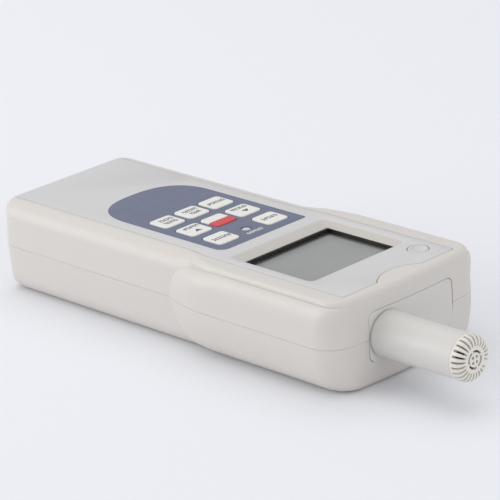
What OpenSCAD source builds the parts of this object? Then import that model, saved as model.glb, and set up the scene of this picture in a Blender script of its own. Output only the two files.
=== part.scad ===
// Handheld sound level meter with a fixed microphone barrel on its end face.
// Millimetres. +Y runs toward the microphone, +X is the right side seen from the
// display, +Z is the display normal. The meter lies on its back: the back is z = 0
// and the origin is the centre of the back.

/* [Case] */
// overall case length along Y
case_len = 161; // [160.8:0.1:161.6]
// half width of the rear case at the parting line
case_half_w = 30.6; // [30.4:0.1:31]
// half width across the side bulges at the parting line
bulge_half_w = 34.5; // [34:0.1:35.5]
// height of the case rim above the back
case_h = 31.7; // [31.6:0.1:32.4]
// height of the parting line
seam_z = 16.5; // [16.2:0.1:16.8]
// wall thickness of both case halves
wall = 2.2; // [2:0.05:2.4]
// bow of the front end: y drops by bow * x * x
bow = 0.0018; // [0.001:0.0001:0.0025]

/* [Front face] */
// half width of the faceplate behind the bulge
plate_half_w = 23.9; // [23.5:0.1:24]
// half width of the faceplate between the bulges
plate_front_half_w = 25.2; // [24.8:0.1:25.3]
// front edge of the faceplate
plate_front_y = 75.8; // [75.4:0.1:76.2]
// faceplate thickness
plate_t = 2; // [1.95:0.05:2.1]
// thickness of the keypad overlay film
overlay_t = 0.6; // [0.4:0.1:0.8]
// half width of the keypad overlay
overlay_half_w = 19.3; // [18:0.1:20]
// front edge of the keypad overlay
overlay_front_y = 17; // [16:0.1:20]
// centre of the overlay's round rear end
overlay_arc_y = -28.2; // [-32:0.1:-24]

/* [Keys] */
// key width across the meter
key_w = 9.2; // [8:0.1:9.4]
// key height along the meter
key_l = 8.9; // [8:0.1:9.6]
// key pitch across the meter
key_pitch_x = 11.1; // [11:0.05:11.3]
// key pitch along the meter
key_pitch_y = 12.7; // [12:0.1:12.9]
// centre line of the middle key row
key_mid_y = -4.55; // [-5:0.05:-4]
// how far a key top stands above the faceplate
key_proud = 0.4; // [0.2:0.1:0.8]
// gap round each key
key_gap = 0.25; // [0.15:0.05:0.3]
// round push button radius
button_r = 3.4; // [3:0.1:3.6]
// round push button centre, across the meter
button_x = -18.9; // [-19:0.1:-18]
// round push button centre, along the meter
button_y = 66.5; // [66:0.1:66.5]

/* [Display] */
// half width of the bezel opening at the faceplate surface
bezel_half_w = 21.6; // [21.4:0.1:21.8]
// rear edge of the bezel opening
bezel_y0 = 24.6; // [24.4:0.1:24.8]
// front edge of the bezel opening
bezel_y1 = 59; // [58.8:0.1:59.2]
// width of the sloped bezel edge
bezel_slope = 2.2; // [2:0.1:2.4]

/* [Microphone] */
// microphone centre across the case
mic_x = 11.3; // [10:0.1:11.5]
// microphone centre above the back
mic_z = 16.5; // [16.5:0.1:17]
// microphone barrel radius
mic_r = 7.4; // [7:0.05:7.5]
// tip of the microphone grille
mic_tip_y = 116.1; // [115.1:0.5:125.1]
// number of radial grille slots
grille_slots = 25; // [18:1:28]
// width of one grille slot
grille_slot_w = 0.65; // [0.4:0.05:0.7]

/* [Battery compartment] */
// AAA cell diameter
cell_d = 10.4; // [10:0.1:10.5]
// AAA cell length with its terminal
cell_len = 44.5; // [44.1:0.1:44.6]
// spacing of the four cells
cell_pitch = 10.7; // [10.6:0.05:10.8]
// half width of the battery door
door_half_w = 21.75; // [21.6:0.05:21.8]
// thickness of the battery door
door_t = 2; // [1.95:0.05:2.05]

/* [Hidden] */
$fn = 48;
eps = 0.02;
half_len = case_len / 2;
deck_top = case_h - plate_t;
deck_t = 1.8;
deck_under = deck_top - deck_t;
board_top = 24.8;
board_t = 1.6;
board_under = board_top - board_t;
key_flange_z0 = deck_top - 0.8;
key_flange_z1 = deck_top - 0.1;
key_flange_rim = 0.6;
key_corner_r = 1.3;
led_xy = [0, 8.4];
led_r = 1.75;
led_hole_r = 1.85;
button_xy = [button_x, button_y];
button_dish_r = 2.35;
button_dish_depth = 0.35;
notch_r = 14.25;
notch_depth = 4.3;
notch_y = plate_front_y - notch_depth + notch_r;
display_y0 = bezel_y0 + bezel_slope;
display_y1 = bezel_y1 - bezel_slope;
display_half_w = bezel_half_w - bezel_slope;
end_half_w = 19.05;
end_z0 = 8.45;
end_z1 = 25.2;
end_gap = 0.12;
comp_y0 = -77.7;
comp_y1 = -27.5;
comp_half_w = 21.9;
comp_roof = 14.4;
cell_z = 2.9 + cell_d / 2;
cell_x = [-1.5 * cell_pitch, -0.5 * cell_pitch, 0.5 * cell_pitch, 1.5 * cell_pitch];
cell_gap = 0.1;
contact_t = 0.4;
screw_x = 21.5;
screw_y = [-19, 18.8];
board_screws_xy = [[-18.5, -33], [18.5, -33], [18.5, 65], [-8, 66]];
tripod_y = 12;
tripod_hole_r = 3.175;
case_thread_r = 1.26;
board_thread_r = 1.02;
lip_inset = 1.3;
plate_clearance = 0.2;
plate_rear_r = 4.9;
display_frame_half_w = 22;
display_frame_y = [24, 59.6];
lens_half_w = 20.8;
lens_y = [25.2, 58.4];
lens_z = [27.76, 28.56];
lcd_z = [26.3, 27.72];
barrel_shoulder_y = 79;
barrel_step_y = half_len + 0.2;
barrel_shank_r = 6.44;
barrel_neck_r = mic_r - 0.2;
barrel_bore_r = 5.6;
lead_z = 12.4;

// ---------------------------------------------------------------- outlines

function arc_pts(cx, cy, r, a0, a1, n) =
  [for (i = [0:n]) [cx + r * cos(a0 + (a1 - a0) * i / n), cy + r * sin(a0 + (a1 - a0) * i / n)]];

function bow_pts(x1, yf, n) =
  [for (i = [0:n]) let (x = x1 - 2 * x1 * i / n) [x, yf - bow * x * x]];

function mirrored(pts) = [for (i = [len(pts) - 1:-1:0]) [-pts[i][0], pts[i][1]]];

// full outline at the rear width: half width, rear y, front y, rear and front corner radius
function body_pts(hw, yr, yf, rr, rf) =
  let (side = concat(arc_pts(hw - rr, yr + rr, rr, -90, 0, 4),
      arc_pts(hw - rf, yf - bow * (hw - rf) * (hw - rf) - rf, rf, 0, 85, 6)))
  concat(side, bow_pts(hw - rf - 1, yf, 12), mirrored(side));

// outline of the front bulge alone: inner and outer half width, start y, front y, corner radius
function bulge_pts(hw0, hw1, ys, yf, rf) =
  let (side = concat([[hw0, ys], [hw0 + 0.55 * (hw1 - hw0), ys + 5],
        [hw0 + 0.9 * (hw1 - hw0), ys + 10.5], [hw1, ys + 17]],
      arc_pts(hw1 - rf, yf - bow * (hw1 - rf) * (hw1 - rf) - rf, rf, 0, 85, 8)))
  concat(side, bow_pts(hw1 - rf - 1, yf, 12), mirrored(side));

function rounded_pts(w, l, r, n) =
  concat(arc_pts(w / 2 - r, l / 2 - r, r, 0, 90, n), arc_pts(r - w / 2, l / 2 - r, r, 90, 180, n),
    arc_pts(r - w / 2, r - l / 2, r, 180, 270, n), arc_pts(w / 2 - r, r - l / 2, r, 270, 360, n));

module rounded_block(w, l, r, z0, z1) {
  translate([0, 0, z0])
    linear_extrude(z1 - z0)
      polygon(rounded_pts(w, l, r, 6));
}

module box(x0, x1, y0, y1, z0, z1) {
  translate([x0, y0, z0])
    cube([x1 - x0, y1 - y0, z1 - z0]);
}

module post(x, y, r, z0, z1) {
  translate([x, y, z0])
    cylinder(h = z1 - z0, r = r);
}

module slice(z, pts) {
  translate([0, 0, z])
    linear_extrude(eps)
      polygon(pts);
}

// outline of both case halves at the parting line, moved inward by i
module seam_outline(i) {
  polygon(body_pts(case_half_w - i, i - half_len, half_len - i, 5 - i, 10 - i));
  polygon(bulge_pts(case_half_w - i, bulge_half_w - i, 5.3 + i, half_len - i, 10 - i));
}

// ---------------------------------------------------------------- case halves

module upper_solid() {
  hull() {
    slice(seam_z, body_pts(case_half_w, -half_len, half_len, 5, 8));
    slice(25.7, body_pts(case_half_w - 0.5, -half_len, half_len, 5, 8));
    slice(28.7, body_pts(29.3, -half_len, half_len, 5, 8));
    slice(30.9, body_pts(27.1, 0.2 - half_len, half_len - 0.35, 5, 8));
    slice(case_h - eps, body_pts(24.3, 0.7 - half_len, half_len - 1.6, 5, 8));
  }
  hull() {
    slice(seam_z, bulge_pts(case_half_w - 1, bulge_half_w, 5.3, half_len - 0.15, 10));
    slice(25, bulge_pts(29.3, bulge_half_w - 0.3, 6.5, half_len - 0.15, 10));
    slice(27.4, bulge_pts(28.8, 33.2, 8, half_len - 0.15, 9));
    slice(28.6, bulge_pts(27.9, 31.8, 9.2, half_len - 0.15, 8));
    slice(30.4, bulge_pts(26, 29.6, 11.4, half_len - 0.4, 7));
    slice(case_h - eps, bulge_pts(24, 27.9, 13, half_len - 1.75, 6));
  }
}

module upper_void() {
  hull() {
    slice(seam_z - 1, body_pts(28.4, wall - half_len, half_len - wall, 3, 6));
    slice(25, body_pts(27.9, wall - half_len, half_len - wall, 3, 6));
    slice(deck_under - eps, body_pts(26, wall - half_len, half_len - wall, 3, 5));
  }
  hull() {
    slice(seam_z - 1, bulge_pts(27, bulge_half_w - wall, 8, half_len - wall - 0.5, 8));
    slice(23, bulge_pts(27, 31.6, 8.6, half_len - wall - 0.5, 8));
    slice(27, bulge_pts(25, 28.2, 12, half_len - wall - 0.5, 7));
  }
}

module lower_solid() {
  hull() {
    slice(0, body_pts(23.9, 1.9 - half_len, half_len - 3.2, 3, 5));
    slice(0.54, body_pts(26.5, 0.9 - half_len, half_len - 2.1, 4, 6));
    slice(2, body_pts(28.5, -half_len, half_len - 1.2, 5, 7));
    slice(5, body_pts(29.9, -half_len, half_len - 0.8, 5, 7));
    slice(seam_z - eps, body_pts(case_half_w, -half_len, half_len, 5, 8));
  }
  hull() {
    slice(1, bulge_pts(25.5, 28.2, 19, half_len - 2, 6));
    slice(3, bulge_pts(27, 31.2, 13.5, half_len - 1.1, 7));
    slice(4.6, bulge_pts(28, 32.4, 11, half_len - 0.9, 7));
    slice(10, bulge_pts(29, 33.9, 6.6, half_len - 0.4, 8));
    slice(seam_z - eps, bulge_pts(case_half_w - 1, bulge_half_w, 5.3, half_len - 0.15, 10));
  }
}

module lower_void() {
  hull() {
    slice(wall, body_pts(24.6, 3 - half_len, half_len - 4.5, 2, 4));
    slice(4.6, body_pts(26.2, wall - half_len, half_len - 2.4, 3, 5));
    slice(seam_z, body_pts(28.4, wall - half_len, half_len - wall, 3, 6));
  }
  hull() {
    slice(5, bulge_pts(24, 29.4, 16, half_len - 3, 5));
    slice(10, bulge_pts(25, 31.4, 9.6, half_len - 2.6, 6));
    slice(seam_z, bulge_pts(27, bulge_half_w - wall, 8, half_len - wall, 8));
  }
}

module end_opening() {
  translate([0, half_len + 5, (end_z0 + end_z1) / 2])
    rotate([90, 0, 0])
      linear_extrude(12)
        polygon(rounded_pts(2 * (end_half_w + end_gap), end_z1 - end_z0 + 2 * end_gap, 2.7, 5));
}

// faceplate outline grown by g, with its rear end at y0
module plate_outline(g, y0) {
  side = concat(arc_pts(plate_half_w + g - plate_rear_r, y0 + plate_rear_r, plate_rear_r, -90, 0, 6),
    [[plate_half_w + g, 6.5]],
    [for (i = [1:9]) let (t = i / 10) [plate_half_w + g + (plate_front_half_w - plate_half_w)
        * (3 * t * t - 2 * t * t * t), 6.5 + 11.5 * t]],
    [[plate_front_half_w + g, 18]],
    arc_pts(plate_front_half_w + g - 1.2, plate_front_y + g - 1.2, 1.2, 0, 90, 4));
  difference() {
    polygon(concat(side, mirrored(side)));
    translate([0, notch_y])
      circle(r = notch_r - g, $fn = 96);
  }
}

module key_pocket_area(z0, z1) {
  box(-16.8, 16.8, key_mid_y - key_pitch_y - 5.5, key_mid_y + key_pitch_y + 5.5, z0, z1);
}

module upper_case() {
  color([0.85, 0.84, 0.81]) {
    difference() {
      union() {
        difference() {
          upper_solid();
          upper_void();
        }
        for (x = [-screw_x, screw_x])
          for (y = screw_y)
            post(x, y, 2.9, seam_z + 0.1, deck_under + 1);
        for (p = board_screws_xy)
          post(p[0], p[1], 2.5, board_top, deck_under + 1);
      }
      translate([0, 0, deck_top])
        linear_extrude(5)
          plate_outline(plate_clearance, -90);
      key_pocket_area(deck_under - 1, deck_top + 1);
      box(-display_frame_half_w - 0.1, display_frame_half_w + 0.1, display_frame_y[0] - 0.1,
        display_frame_y[1] + 0.1, deck_under - 1, deck_top + 1);
      post(button_xy[0], button_xy[1], 4.4, deck_under - 1, deck_top + 1);
      for (x = [-screw_x, screw_x])
        for (y = screw_y)
          post(x, y, case_thread_r, seam_z - 1, 25);
      for (p = board_screws_xy)
        post(p[0], p[1], board_thread_r, board_top - 1, board_top + 2.6);
      translate([0, 0, seam_z - 1])
        linear_extrude(2.5)
          seam_outline(lip_inset - 0.1);
      end_opening();
    }
    for (side = [-1, 1]) {
      box(side * 25.45 - 0.75, side * 25.45 + 0.75, 2.6 - half_len, 3.4 - half_len, 14.5, 19.5);
      box(side * 25.45 - 0.75, side * 25.45 + 0.75, 1.9 - half_len, 3.4 - half_len, 18.3, 19.5);
    }
  }
}

module door_slot() {
  box(-comp_half_w, comp_half_w, -90, -26.4, -1, 2.3);
  box(-23.2, 23.2, -90, -29.8, 0.95, 2.15);
}

module lower_case() {
  color([0.84, 0.83, 0.8])
    difference() {
      union() {
        difference() {
          lower_solid();
          lower_void();
        }
        box(-24.2, 24.2, wall - half_len - 0.5, -26, 1.5, comp_roof + 1.2);
        for (x = [-screw_x, screw_x])
          for (y = screw_y)
            post(x, y, 3.6, wall - 1, seam_z);
        post(0, tripod_y, 6.6, wall - 1, 10.5);
        translate([0, 0, seam_z - 0.5])
          linear_extrude(1.9)
            difference() {
              seam_outline(lip_inset);
              seam_outline(wall - 0.05);
            }
      }
      end_opening();
      door_slot();
      box(-comp_half_w, comp_half_w, comp_y0, comp_y1, 1, comp_roof);
      for (x = [cell_x[0], cell_x[3]])
        translate([x, comp_y1 - 1, lead_z])
          rotate([-90, 0, 0])
            cylinder(h = 4, r = 0.85);
      for (x = [-screw_x, screw_x])
        for (y = screw_y) {
          post(x, y, 2.6, -1, 8);
          post(x, y, 1.5, 7, seam_z + 1);
        }
      post(0, tripod_y, 4.55, -1, 8.6);
    }
}

module battery_door() {
  color([0.84, 0.83, 0.8])
    difference() {
      union() {
        translate([-door_half_w, 0, 0])
          rotate([90, 0, 90])
            linear_extrude(2 * door_half_w)
              polygon([[-26.6, 0], [-26.6, door_t], [-80.45, door_t], [-80.45, 1.9], [-79.6, 0.54],
                  [-78.6, 0]]);
        for (side = [-1, 1])
          box(side * 22.2 - 0.8, side * 22.2 + 0.8, -80.3, -30, 1.1, door_t);
        box(-6, 6, -28.6, -27.6, door_t, door_t + 0.2);
      }
      for (i = [0:5])
        box(-9, 9, -45 + 2.2 * i, -44 + 2.2 * i, -1, 0.5);
    }
}

module case_screws() {
  color([0.55, 0.56, 0.58])
    for (x = [-screw_x, screw_x])
      for (y = screw_y)
        difference() {
          union() {
            post(x, y, 2.4, 6, 8);
            post(x, y, case_thread_r - 0.02, 8, 24);
          }
          box(x - 1.4, x + 1.4, y - 0.25, y + 0.25, 5, 6.9);
          box(x - 0.25, x + 0.25, y - 1.4, y + 1.4, 5, 6.9);
        }
}

module tripod_insert() {
  color([0.75, 0.6, 0.3])
    difference() {
      post(0, tripod_y, 4.53, 0.1, 8.5);
      post(0, tripod_y, tripod_hole_r, -1, 7.6);
    }
}

// ---------------------------------------------------------------- front face

module key_openings(extra) {
  for (j = [-1:1])
    for (i = [-1:1])
      if (!(j == 1 && i == 0))
        translate([i * key_pitch_x, key_mid_y + j * key_pitch_y])
          polygon(rounded_pts(key_w + 2 * extra, key_l + 2 * extra, key_corner_r + extra, 6));
  translate(led_xy)
    circle(r = led_hole_r);
}

module overlay_outline(g) {
  hw = overlay_half_w + g;
  polygon(concat(arc_pts(hw - 3.4, overlay_front_y + g - 3.4, 3.4, 0, 90, 6),
      arc_pts(3.4 - hw, overlay_front_y + g - 3.4, 3.4, 90, 180, 6),
      arc_pts(0, overlay_arc_y, hw, 180, 360, 40)));
}

module faceplate() {
  color([0.83, 0.83, 0.83])
    difference() {
      translate([0, 0, deck_top])
        linear_extrude(plate_t)
          plate_outline(0, -half_len + 0.15);
      translate([0, 0, case_h - overlay_t])
        linear_extrude(1)
          overlay_outline(0.08);
      translate([0, 0, deck_top - 1])
        linear_extrude(plate_t + 2)
          key_openings(key_gap);
      hull() {
        box(-bezel_half_w, bezel_half_w, bezel_y0, bezel_y1, case_h, case_h + eps);
        box(-display_half_w, display_half_w, display_y0, display_y1, deck_top - eps, deck_top);
      }
      post(button_xy[0], button_xy[1], button_r + 0.15, deck_top - 1, case_h + 1);
    }
}

module keypad_overlay() {
  color([0.45, 0.48, 0.56])
    translate([0, 0, case_h - overlay_t])
      linear_extrude(overlay_t)
        difference() {
          overlay_outline(0);
          key_openings(key_gap);
        }
}

module key_at(i, j) {
  color([0.92, 0.91, 0.88])
    translate([i * key_pitch_x, key_mid_y + j * key_pitch_y, 0]) {
      rounded_block(key_w + 2 * key_flange_rim, key_l + 2 * key_flange_rim, 1.5, key_flange_z0,
        key_flange_z1);
      rounded_block(key_w, key_l, key_corner_r, key_flange_z1, case_h + key_proud);
    }
}

module key_upper_right() {
  key_at(1, 1);
}

module key_upper_left() {
  key_at(-1, 1);
}

module key_arrow_right() {
  key_at(1, 0);
}

module key_power() {
  key_at(0, 0);
}

module key_arrow_left() {
  key_at(-1, 0);
}

module key_lower_right() {
  key_at(1, -1);
}

module key_lower_centre() {
  key_at(0, -1);
}

module key_lower_left() {
  key_at(-1, -1);
}

module round_button() {
  color([0.84, 0.84, 0.83])
    difference() {
      union() {
        post(button_xy[0], button_xy[1], button_r, key_flange_z1, case_h);
        post(button_xy[0], button_xy[1], button_r + 0.7, key_flange_z0, key_flange_z1);
      }
      post(button_xy[0], button_xy[1], button_dish_r, case_h - button_dish_depth, case_h + 1);
    }
}

module alarm_led() {
  color([0.8, 0.75, 0.7]) {
    translate([led_xy[0], led_xy[1], 0]) {
      translate([0, 0, board_top])
        cylinder(h = 1, r = led_r + 0.2);
      translate([0, 0, board_top + 1])
        cylinder(h = 4.2, r = led_r);
      translate([0, 0, board_top + 5.2])
        sphere(r = led_r);
    }
  }
}

// ---------------------------------------------------------------- display

module display_frame() {
  color([0.08, 0.08, 0.08])
    difference() {
      box(-display_frame_half_w, display_frame_half_w, display_frame_y[0], display_frame_y[1],
        board_top + 0.02, deck_top - 0.02);
      box(-display_half_w, display_half_w, display_y0, display_y1, board_top - 1, deck_top + 1);
      box(-lens_half_w - 0.1, lens_half_w + 0.1, lens_y[0] - 0.1, lens_y[1] + 0.1, board_top - 1,
        lens_z[1] + 0.04);
    }
}

module window_lens() {
  color([0.85, 0.9, 0.9, 0.4])
    box(-lens_half_w, lens_half_w, lens_y[0], lens_y[1], lens_z[0], lens_z[1]);
}

module lcd_glass() {
  color([0.55, 0.57, 0.56])
    difference() {
      box(-lens_half_w, lens_half_w, lens_y[0], lens_y[1], lcd_z[0], lcd_z[1]);
      box(-lens_half_w - 0.2, 0.6 - lens_half_w, lens_y[0] - 0.2, lens_y[0] + 0.8, lcd_z[0] - 0.3,
        lcd_z[1] + 0.3);
    }
}

module backlight_panel() {
  color([0.9, 0.92, 0.85]) {
    box(-20.4, 20.4, 27.5, 56.1, board_top + 0.05, 26.26);
  }
}

module zebra_strips() {
  color([0.75, 0.4, 0.35])
    for (y = [25.5, 56.7])
      box(-19, 19, y, y + 1.4, board_top + 0.02, 26.28);
}

// ---------------------------------------------------------------- electronics

module keypad_mat() {
  color([0.6, 0.6, 0.62])
    difference() {
      union() {
        box(-16.5, 16.5, key_mid_y - key_pitch_y - 5.2, key_mid_y + key_pitch_y + 5.2,
          board_top + 0.02, board_top + 1);
        for (j = [-1:1])
          for (i = [-1:1])
            if (!(j == 1 && i == 0))
              translate([i * key_pitch_x, key_mid_y + j * key_pitch_y, board_top + 0.9])
                cylinder(h = 2.4, r1 = 4, r2 = 2.4);
      }
      post(led_xy[0], led_xy[1], led_r + 0.35, board_top - 1, board_top + 3);
    }
}

module main_board() {
  color([0.1, 0.4, 0.25])
    difference() {
      box(-22, 22, -38, 69.5, board_under, board_top);
      for (x = [-screw_x, screw_x])
        for (y = screw_y)
          post(x, y, 3.3, board_under - 1, board_top + 1);
      for (p = board_screws_xy)
        post(p[0], p[1], 1.15, board_under - 1, board_top + 1);
    }
}

module board_screws() {
  color([0.7, 0.7, 0.72])
    for (p = board_screws_xy)
      difference() {
        union() {
          post(p[0], p[1], 1.9, board_under - 1.4, board_under);
          post(p[0], p[1], board_thread_r - 0.02, board_under, board_top + 2.5);
        }
        box(p[0] - 1.2, p[0] + 1.2, p[1] - 0.2, p[1] + 0.2, board_under - 2, board_under - 0.7);
        box(p[0] - 0.2, p[0] + 0.2, p[1] - 1.2, p[1] + 1.2, board_under - 2, board_under - 0.7);
      }
}

module chip(w, l, h, pins) {
  box(-w / 2, w / 2, -l / 2, l / 2, board_under - h, board_under - 0.3);
  for (side = [-1, 1])
    for (i = [0:pins - 1])
      translate([(i - (pins - 1) / 2) * (w - 1) / (pins - 1), side * (l / 2 + 0.45), 0])
        box(-0.15, 0.15, -0.55, 0.55, board_under - 0.9, board_under);
}

module main_chip() {
  color([0.12, 0.12, 0.13])
    translate([2, -2, 0])
      chip(13, 13, 1.9, 12);
}

module amplifier_chips() {
  color([0.12, 0.12, 0.13])
    for (p = [[8, 36], [-8, 36], [8, 52]])
      translate([p[0], p[1], 0])
        chip(8, 4, 1.7, 7);
}

module crystal() {
  color([0.75, 0.75, 0.77])
    translate([2, -14.5, 0])
      rounded_block(11, 4.4, 2.1, board_under - 3.5, board_under);
}

module capacitors() {
  color([0.2, 0.25, 0.4])
    for (p = [[-14, 52], [-14, 28], [15, 24], [-14, 4]])
      difference() {
        post(p[0], p[1], 3.1, board_under - 7, board_under);
        box(p[0] - 2, p[0] + 2, p[1] - 0.15, p[1] + 0.15, board_under - 8, board_under - 6.8);
        box(p[0] - 0.15, p[0] + 0.15, p[1] - 2, p[1] + 2, board_under - 8, board_under - 6.8);
      }
}

module buzzer() {
  color([0.1, 0.1, 0.1])
    difference() {
      post(3, -28, 6, board_under - 6, board_under);
      post(3, -28, 1.2, board_under - 7, board_under - 4);
    }
}

module button_switch() {
  color([0.2, 0.2, 0.2])
    translate([button_xy[0], button_xy[1], 0]) {
      box(-3, 3, -3, 3, board_top, board_top + 2.6);
      post(0, 0, 1.6, board_top + 2.6, board_top + 3.5);
    }
}

module cable_connector() {
  color([0.93, 0.92, 0.88])
    translate([mic_x, 58.5, 0])
      difference() {
        box(-4, 4, -2.6, 2.6, board_under - 6, board_under);
        box(-3.2, 3.2, -1.8, 1.8, board_under - 7, board_under - 2.5);
      }
}

// ---------------------------------------------------------------- microphone

module at_mic(y) {
  translate([mic_x, y, mic_z])
    rotate([-90, 0, 0])
      children();
}

module end_plate() {
  color([0.83, 0.82, 0.8])
    difference() {
      union() {
        intersection() {
          translate([0, half_len + 5, (end_z0 + end_z1) / 2])
            rotate([90, 0, 0])
              linear_extrude(8.5)
                polygon(rounded_pts(2 * end_half_w, end_z1 - end_z0, 2.6, 5));
          translate([0, 0, end_z0 - 1])
            linear_extrude(30)
              polygon(concat([[-25, 70], [25, 70]], bow_pts(25, half_len - 0.02, 24)));
        }
        box(-20.6, 20.6, 76.3, 77.3, end_z0 - 1.2, end_z1 + 1.2);
      }
      at_mic(70)
        cylinder(h = 20, r = barrel_shank_r + 0.06);
      at_mic(barrel_shoulder_y)
        cylinder(h = 5, r = barrel_neck_r + 0.06);
    }
}

module mic_barrel() {
  color([0.84, 0.83, 0.81])
    difference() {
      union() {
        at_mic(71)
          cylinder(h = barrel_shoulder_y - 71 + eps, r = barrel_shank_r);
        at_mic(barrel_shoulder_y)
          cylinder(h = barrel_step_y - barrel_shoulder_y + eps, r = barrel_neck_r);
        at_mic(barrel_step_y)
          cylinder(h = mic_tip_y - 3.9 - barrel_step_y, r = mic_r, $fn = 96);
      }
      at_mic(70)
        cylinder(h = 60, r = barrel_bore_r);
      at_mic(mic_tip_y - 8)
        cylinder(h = 10, r = 6.35);
    }
}

module grille_solid() {
  tip = 3.85;
  edge = 2.4;
  rotate_extrude($fn = 96)
    polygon(concat([[5.5, -4], [6.3, -4], [6.3, 0], [mic_r, 0], [mic_r, tip - edge]],
        arc_pts(mic_r - edge, tip - edge, edge, 10, 90, 8), [[0, tip], [0, tip - 1.1],
        [4.6, tip - 1.1], [5.5, tip - 1.9]]));
}

module mic_grille() {
  color([0.86, 0.85, 0.8])
    at_mic(mic_tip_y - 3.85)
      difference() {
        grille_solid();
        for (i = [0:grille_slots - 1])
          rotate([0, 0, (i + 0.5) * 360 / grille_slots])
            translate([4.4, -grille_slot_w / 2, 0.75])
              cube([5, grille_slot_w, 5]);
        difference() {
          translate([0, 0, 2])
            cylinder(h = 3, r = 3.05);
          translate([0, 0, 1])
            cylinder(h = 5, r = 2.35);
          for (a = [20, 110])
            rotate([0, 0, a])
              translate([-4, -0.3, 1])
                cube([8, 0.6, 5]);
        }
        for (a = [45:90:315])
          rotate([0, 0, a])
            translate([0, 0, 2])
              linear_extrude(3)
                polygon([[0.55, 0], [1.35, -0.62], [1.65, 0], [1.35, 0.62]]);
      }
}

module mic_mesh() {
  color([0.2, 0.2, 0.2])
    at_mic(mic_tip_y - 6.4)
      cylinder(h = 0.3, r = 5.45);
}

module mic_capsule() {
  color([0.75, 0.76, 0.78])
    at_mic(0) {
      translate([0, 0, mic_tip_y - 14.4])
        cylinder(h = 6, r = 4.85);
      for (x = [-1.3, 1.3])
        translate([x, 0, mic_tip_y - 16.4])
          cylinder(h = 2.01, r = 0.4);
    }
}

module capsule_sleeve() {
  color([0.15, 0.15, 0.16])
    at_mic(mic_tip_y - 14.4)
      difference() {
        cylinder(h = 6.2, r = barrel_bore_r - 0.02);
        translate([0, 0, -1])
          cylinder(h = 10, r = 4.87);
      }
}

module preamp_board() {
  color([0.1, 0.4, 0.25])
    translate([mic_x, 0, mic_z]) {
      box(-4.4, 4.4, 82, 98, -1.8, -0.6);
      box(-1.5, 1.5, 86, 89, -0.6, 0.5);
      box(-1, 1, 93, 94.6, -0.6, 0.2);
    }
}

module mic_nut() {
  color([0.7, 0.7, 0.68])
    difference() {
      at_mic(73)
        cylinder(h = 2.35, r = 9.2, $fn = 6);
      at_mic(72)
        cylinder(h = 5, r = barrel_shank_r + 0.03);
    }
}

module mic_seal() {
  color([0.1, 0.1, 0.1])
    difference() {
      at_mic(75.4)
        cylinder(h = 0.88, r = 8.6);
      at_mic(72)
        cylinder(h = 5, r = barrel_shank_r + 0.03);
    }
}

module mic_cable() {
  cable_z = mic_z - 1.2;
  color([0.25, 0.25, 0.27]) {
    translate([mic_x, 58.5, cable_z])
      rotate([-90, 0, 0])
        cylinder(h = 23.4, r = 1.1);
    translate([mic_x, 58.5, cable_z])
      sphere(r = 1.1);
    translate([mic_x, 58.5, cable_z])
      cylinder(h = board_under - 2.6 - cable_z, r = 1.1);
  }
}

// ---------------------------------------------------------------- batteries

// cells 0 and 2 point toward the microphone, cells 1 and 3 the other way
module battery_cells() {
  color([0.25, 0.35, 0.3])
    for (i = [0:3])
      translate([cell_x[i], (comp_y0 + comp_y1) / 2, cell_z])
        rotate([i % 2 == 0 ? -90 : 90, 0, 0])
          translate([0, 0, (comp_y1 - comp_y0) / 2 - contact_t - 0.1 - cell_len]) {
            cylinder(h = cell_len - 1, r = cell_d / 2);
            translate([0, 0, cell_len - 1])
              cylinder(h = 1, r = 1.9);
          }
}

function helix_ring(r, wire, pitch, n, m, k) =
  let (a = 360 * k / n, c = [r * cos(a), r * sin(a), pitch * k / n])
  [for (j = [0:m - 1]) let (b = 360 * j / m)
    [c[0] + wire * cos(b) * cos(a), c[1] + wire * cos(b) * sin(a), c[2] + wire * sin(b)]];

module coil(r, wire, height, turns) {
  n = 18;
  m = 8;
  rings = n * turns;
  pitch = (height - 2 * wire) / turns;
  pts = [for (k = [0:rings]) each helix_ring(r, wire, pitch, n, m, k)];
  sides = [for (k = [0:rings - 1]) for (j = [0:m - 1])
    [k * m + j, k * m + (j + 1) % m, (k + 1) * m + (j + 1) % m, (k + 1) * m + j]];
  ends = [[for (j = [m - 1:-1:0]) j], [for (j = [0:m - 1]) rings * m + j]];
  translate([0, 0, wire])
    polyhedron(pts, concat(sides, ends));
}

module battery_springs() {
  gap = comp_y1 - comp_y0 - 2 * contact_t - 0.2 - cell_len;
  color([0.8, 0.8, 0.78])
    for (i = [0:3])
      translate([cell_x[i], (comp_y0 + comp_y1) / 2, cell_z])
        rotate([i % 2 == 0 ? -90 : 90, 0, 0])
          translate([0, 0, (comp_y0 - comp_y1) / 2 + contact_t + 0.15])
            coil(3.4, 0.4, gap - 0.15, 4);
}

module contact(x0, x1, y0) {
  box(x0, x1, y0, y0 + contact_t, 4, 13);
}

module rear_contacts() {
  color([0.8, 0.8, 0.78])
    for (x = [-cell_pitch, cell_pitch])
      contact(x - 9.2, x + 9.2, comp_y0 + 0.05);
}

module bridge_contact() {
  color([0.8, 0.8, 0.78])
    contact(-9.2, 9.2, comp_y1 - 0.05 - contact_t);
}

module end_contacts() {
  color([0.8, 0.8, 0.78])
    for (x = [cell_x[0], cell_x[3]])
      contact(x - 4.2, x + 4.2, comp_y1 - 0.05 - contact_t);
}

module battery_leads() {
  lead_y = -24.4;
  color([0.7, 0.15, 0.12])
    for (x = [cell_x[0], cell_x[3]]) {
      translate([x, comp_y1 - 0.05, lead_z])
        rotate([-90, 0, 0])
          cylinder(h = lead_y - comp_y1 + 0.05, r = 0.7);
      translate([x, lead_y, lead_z])
        sphere(r = 0.7);
      translate([x, lead_y, lead_z])
        cylinder(h = board_under - lead_z, r = 0.7);
    }
}

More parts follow.
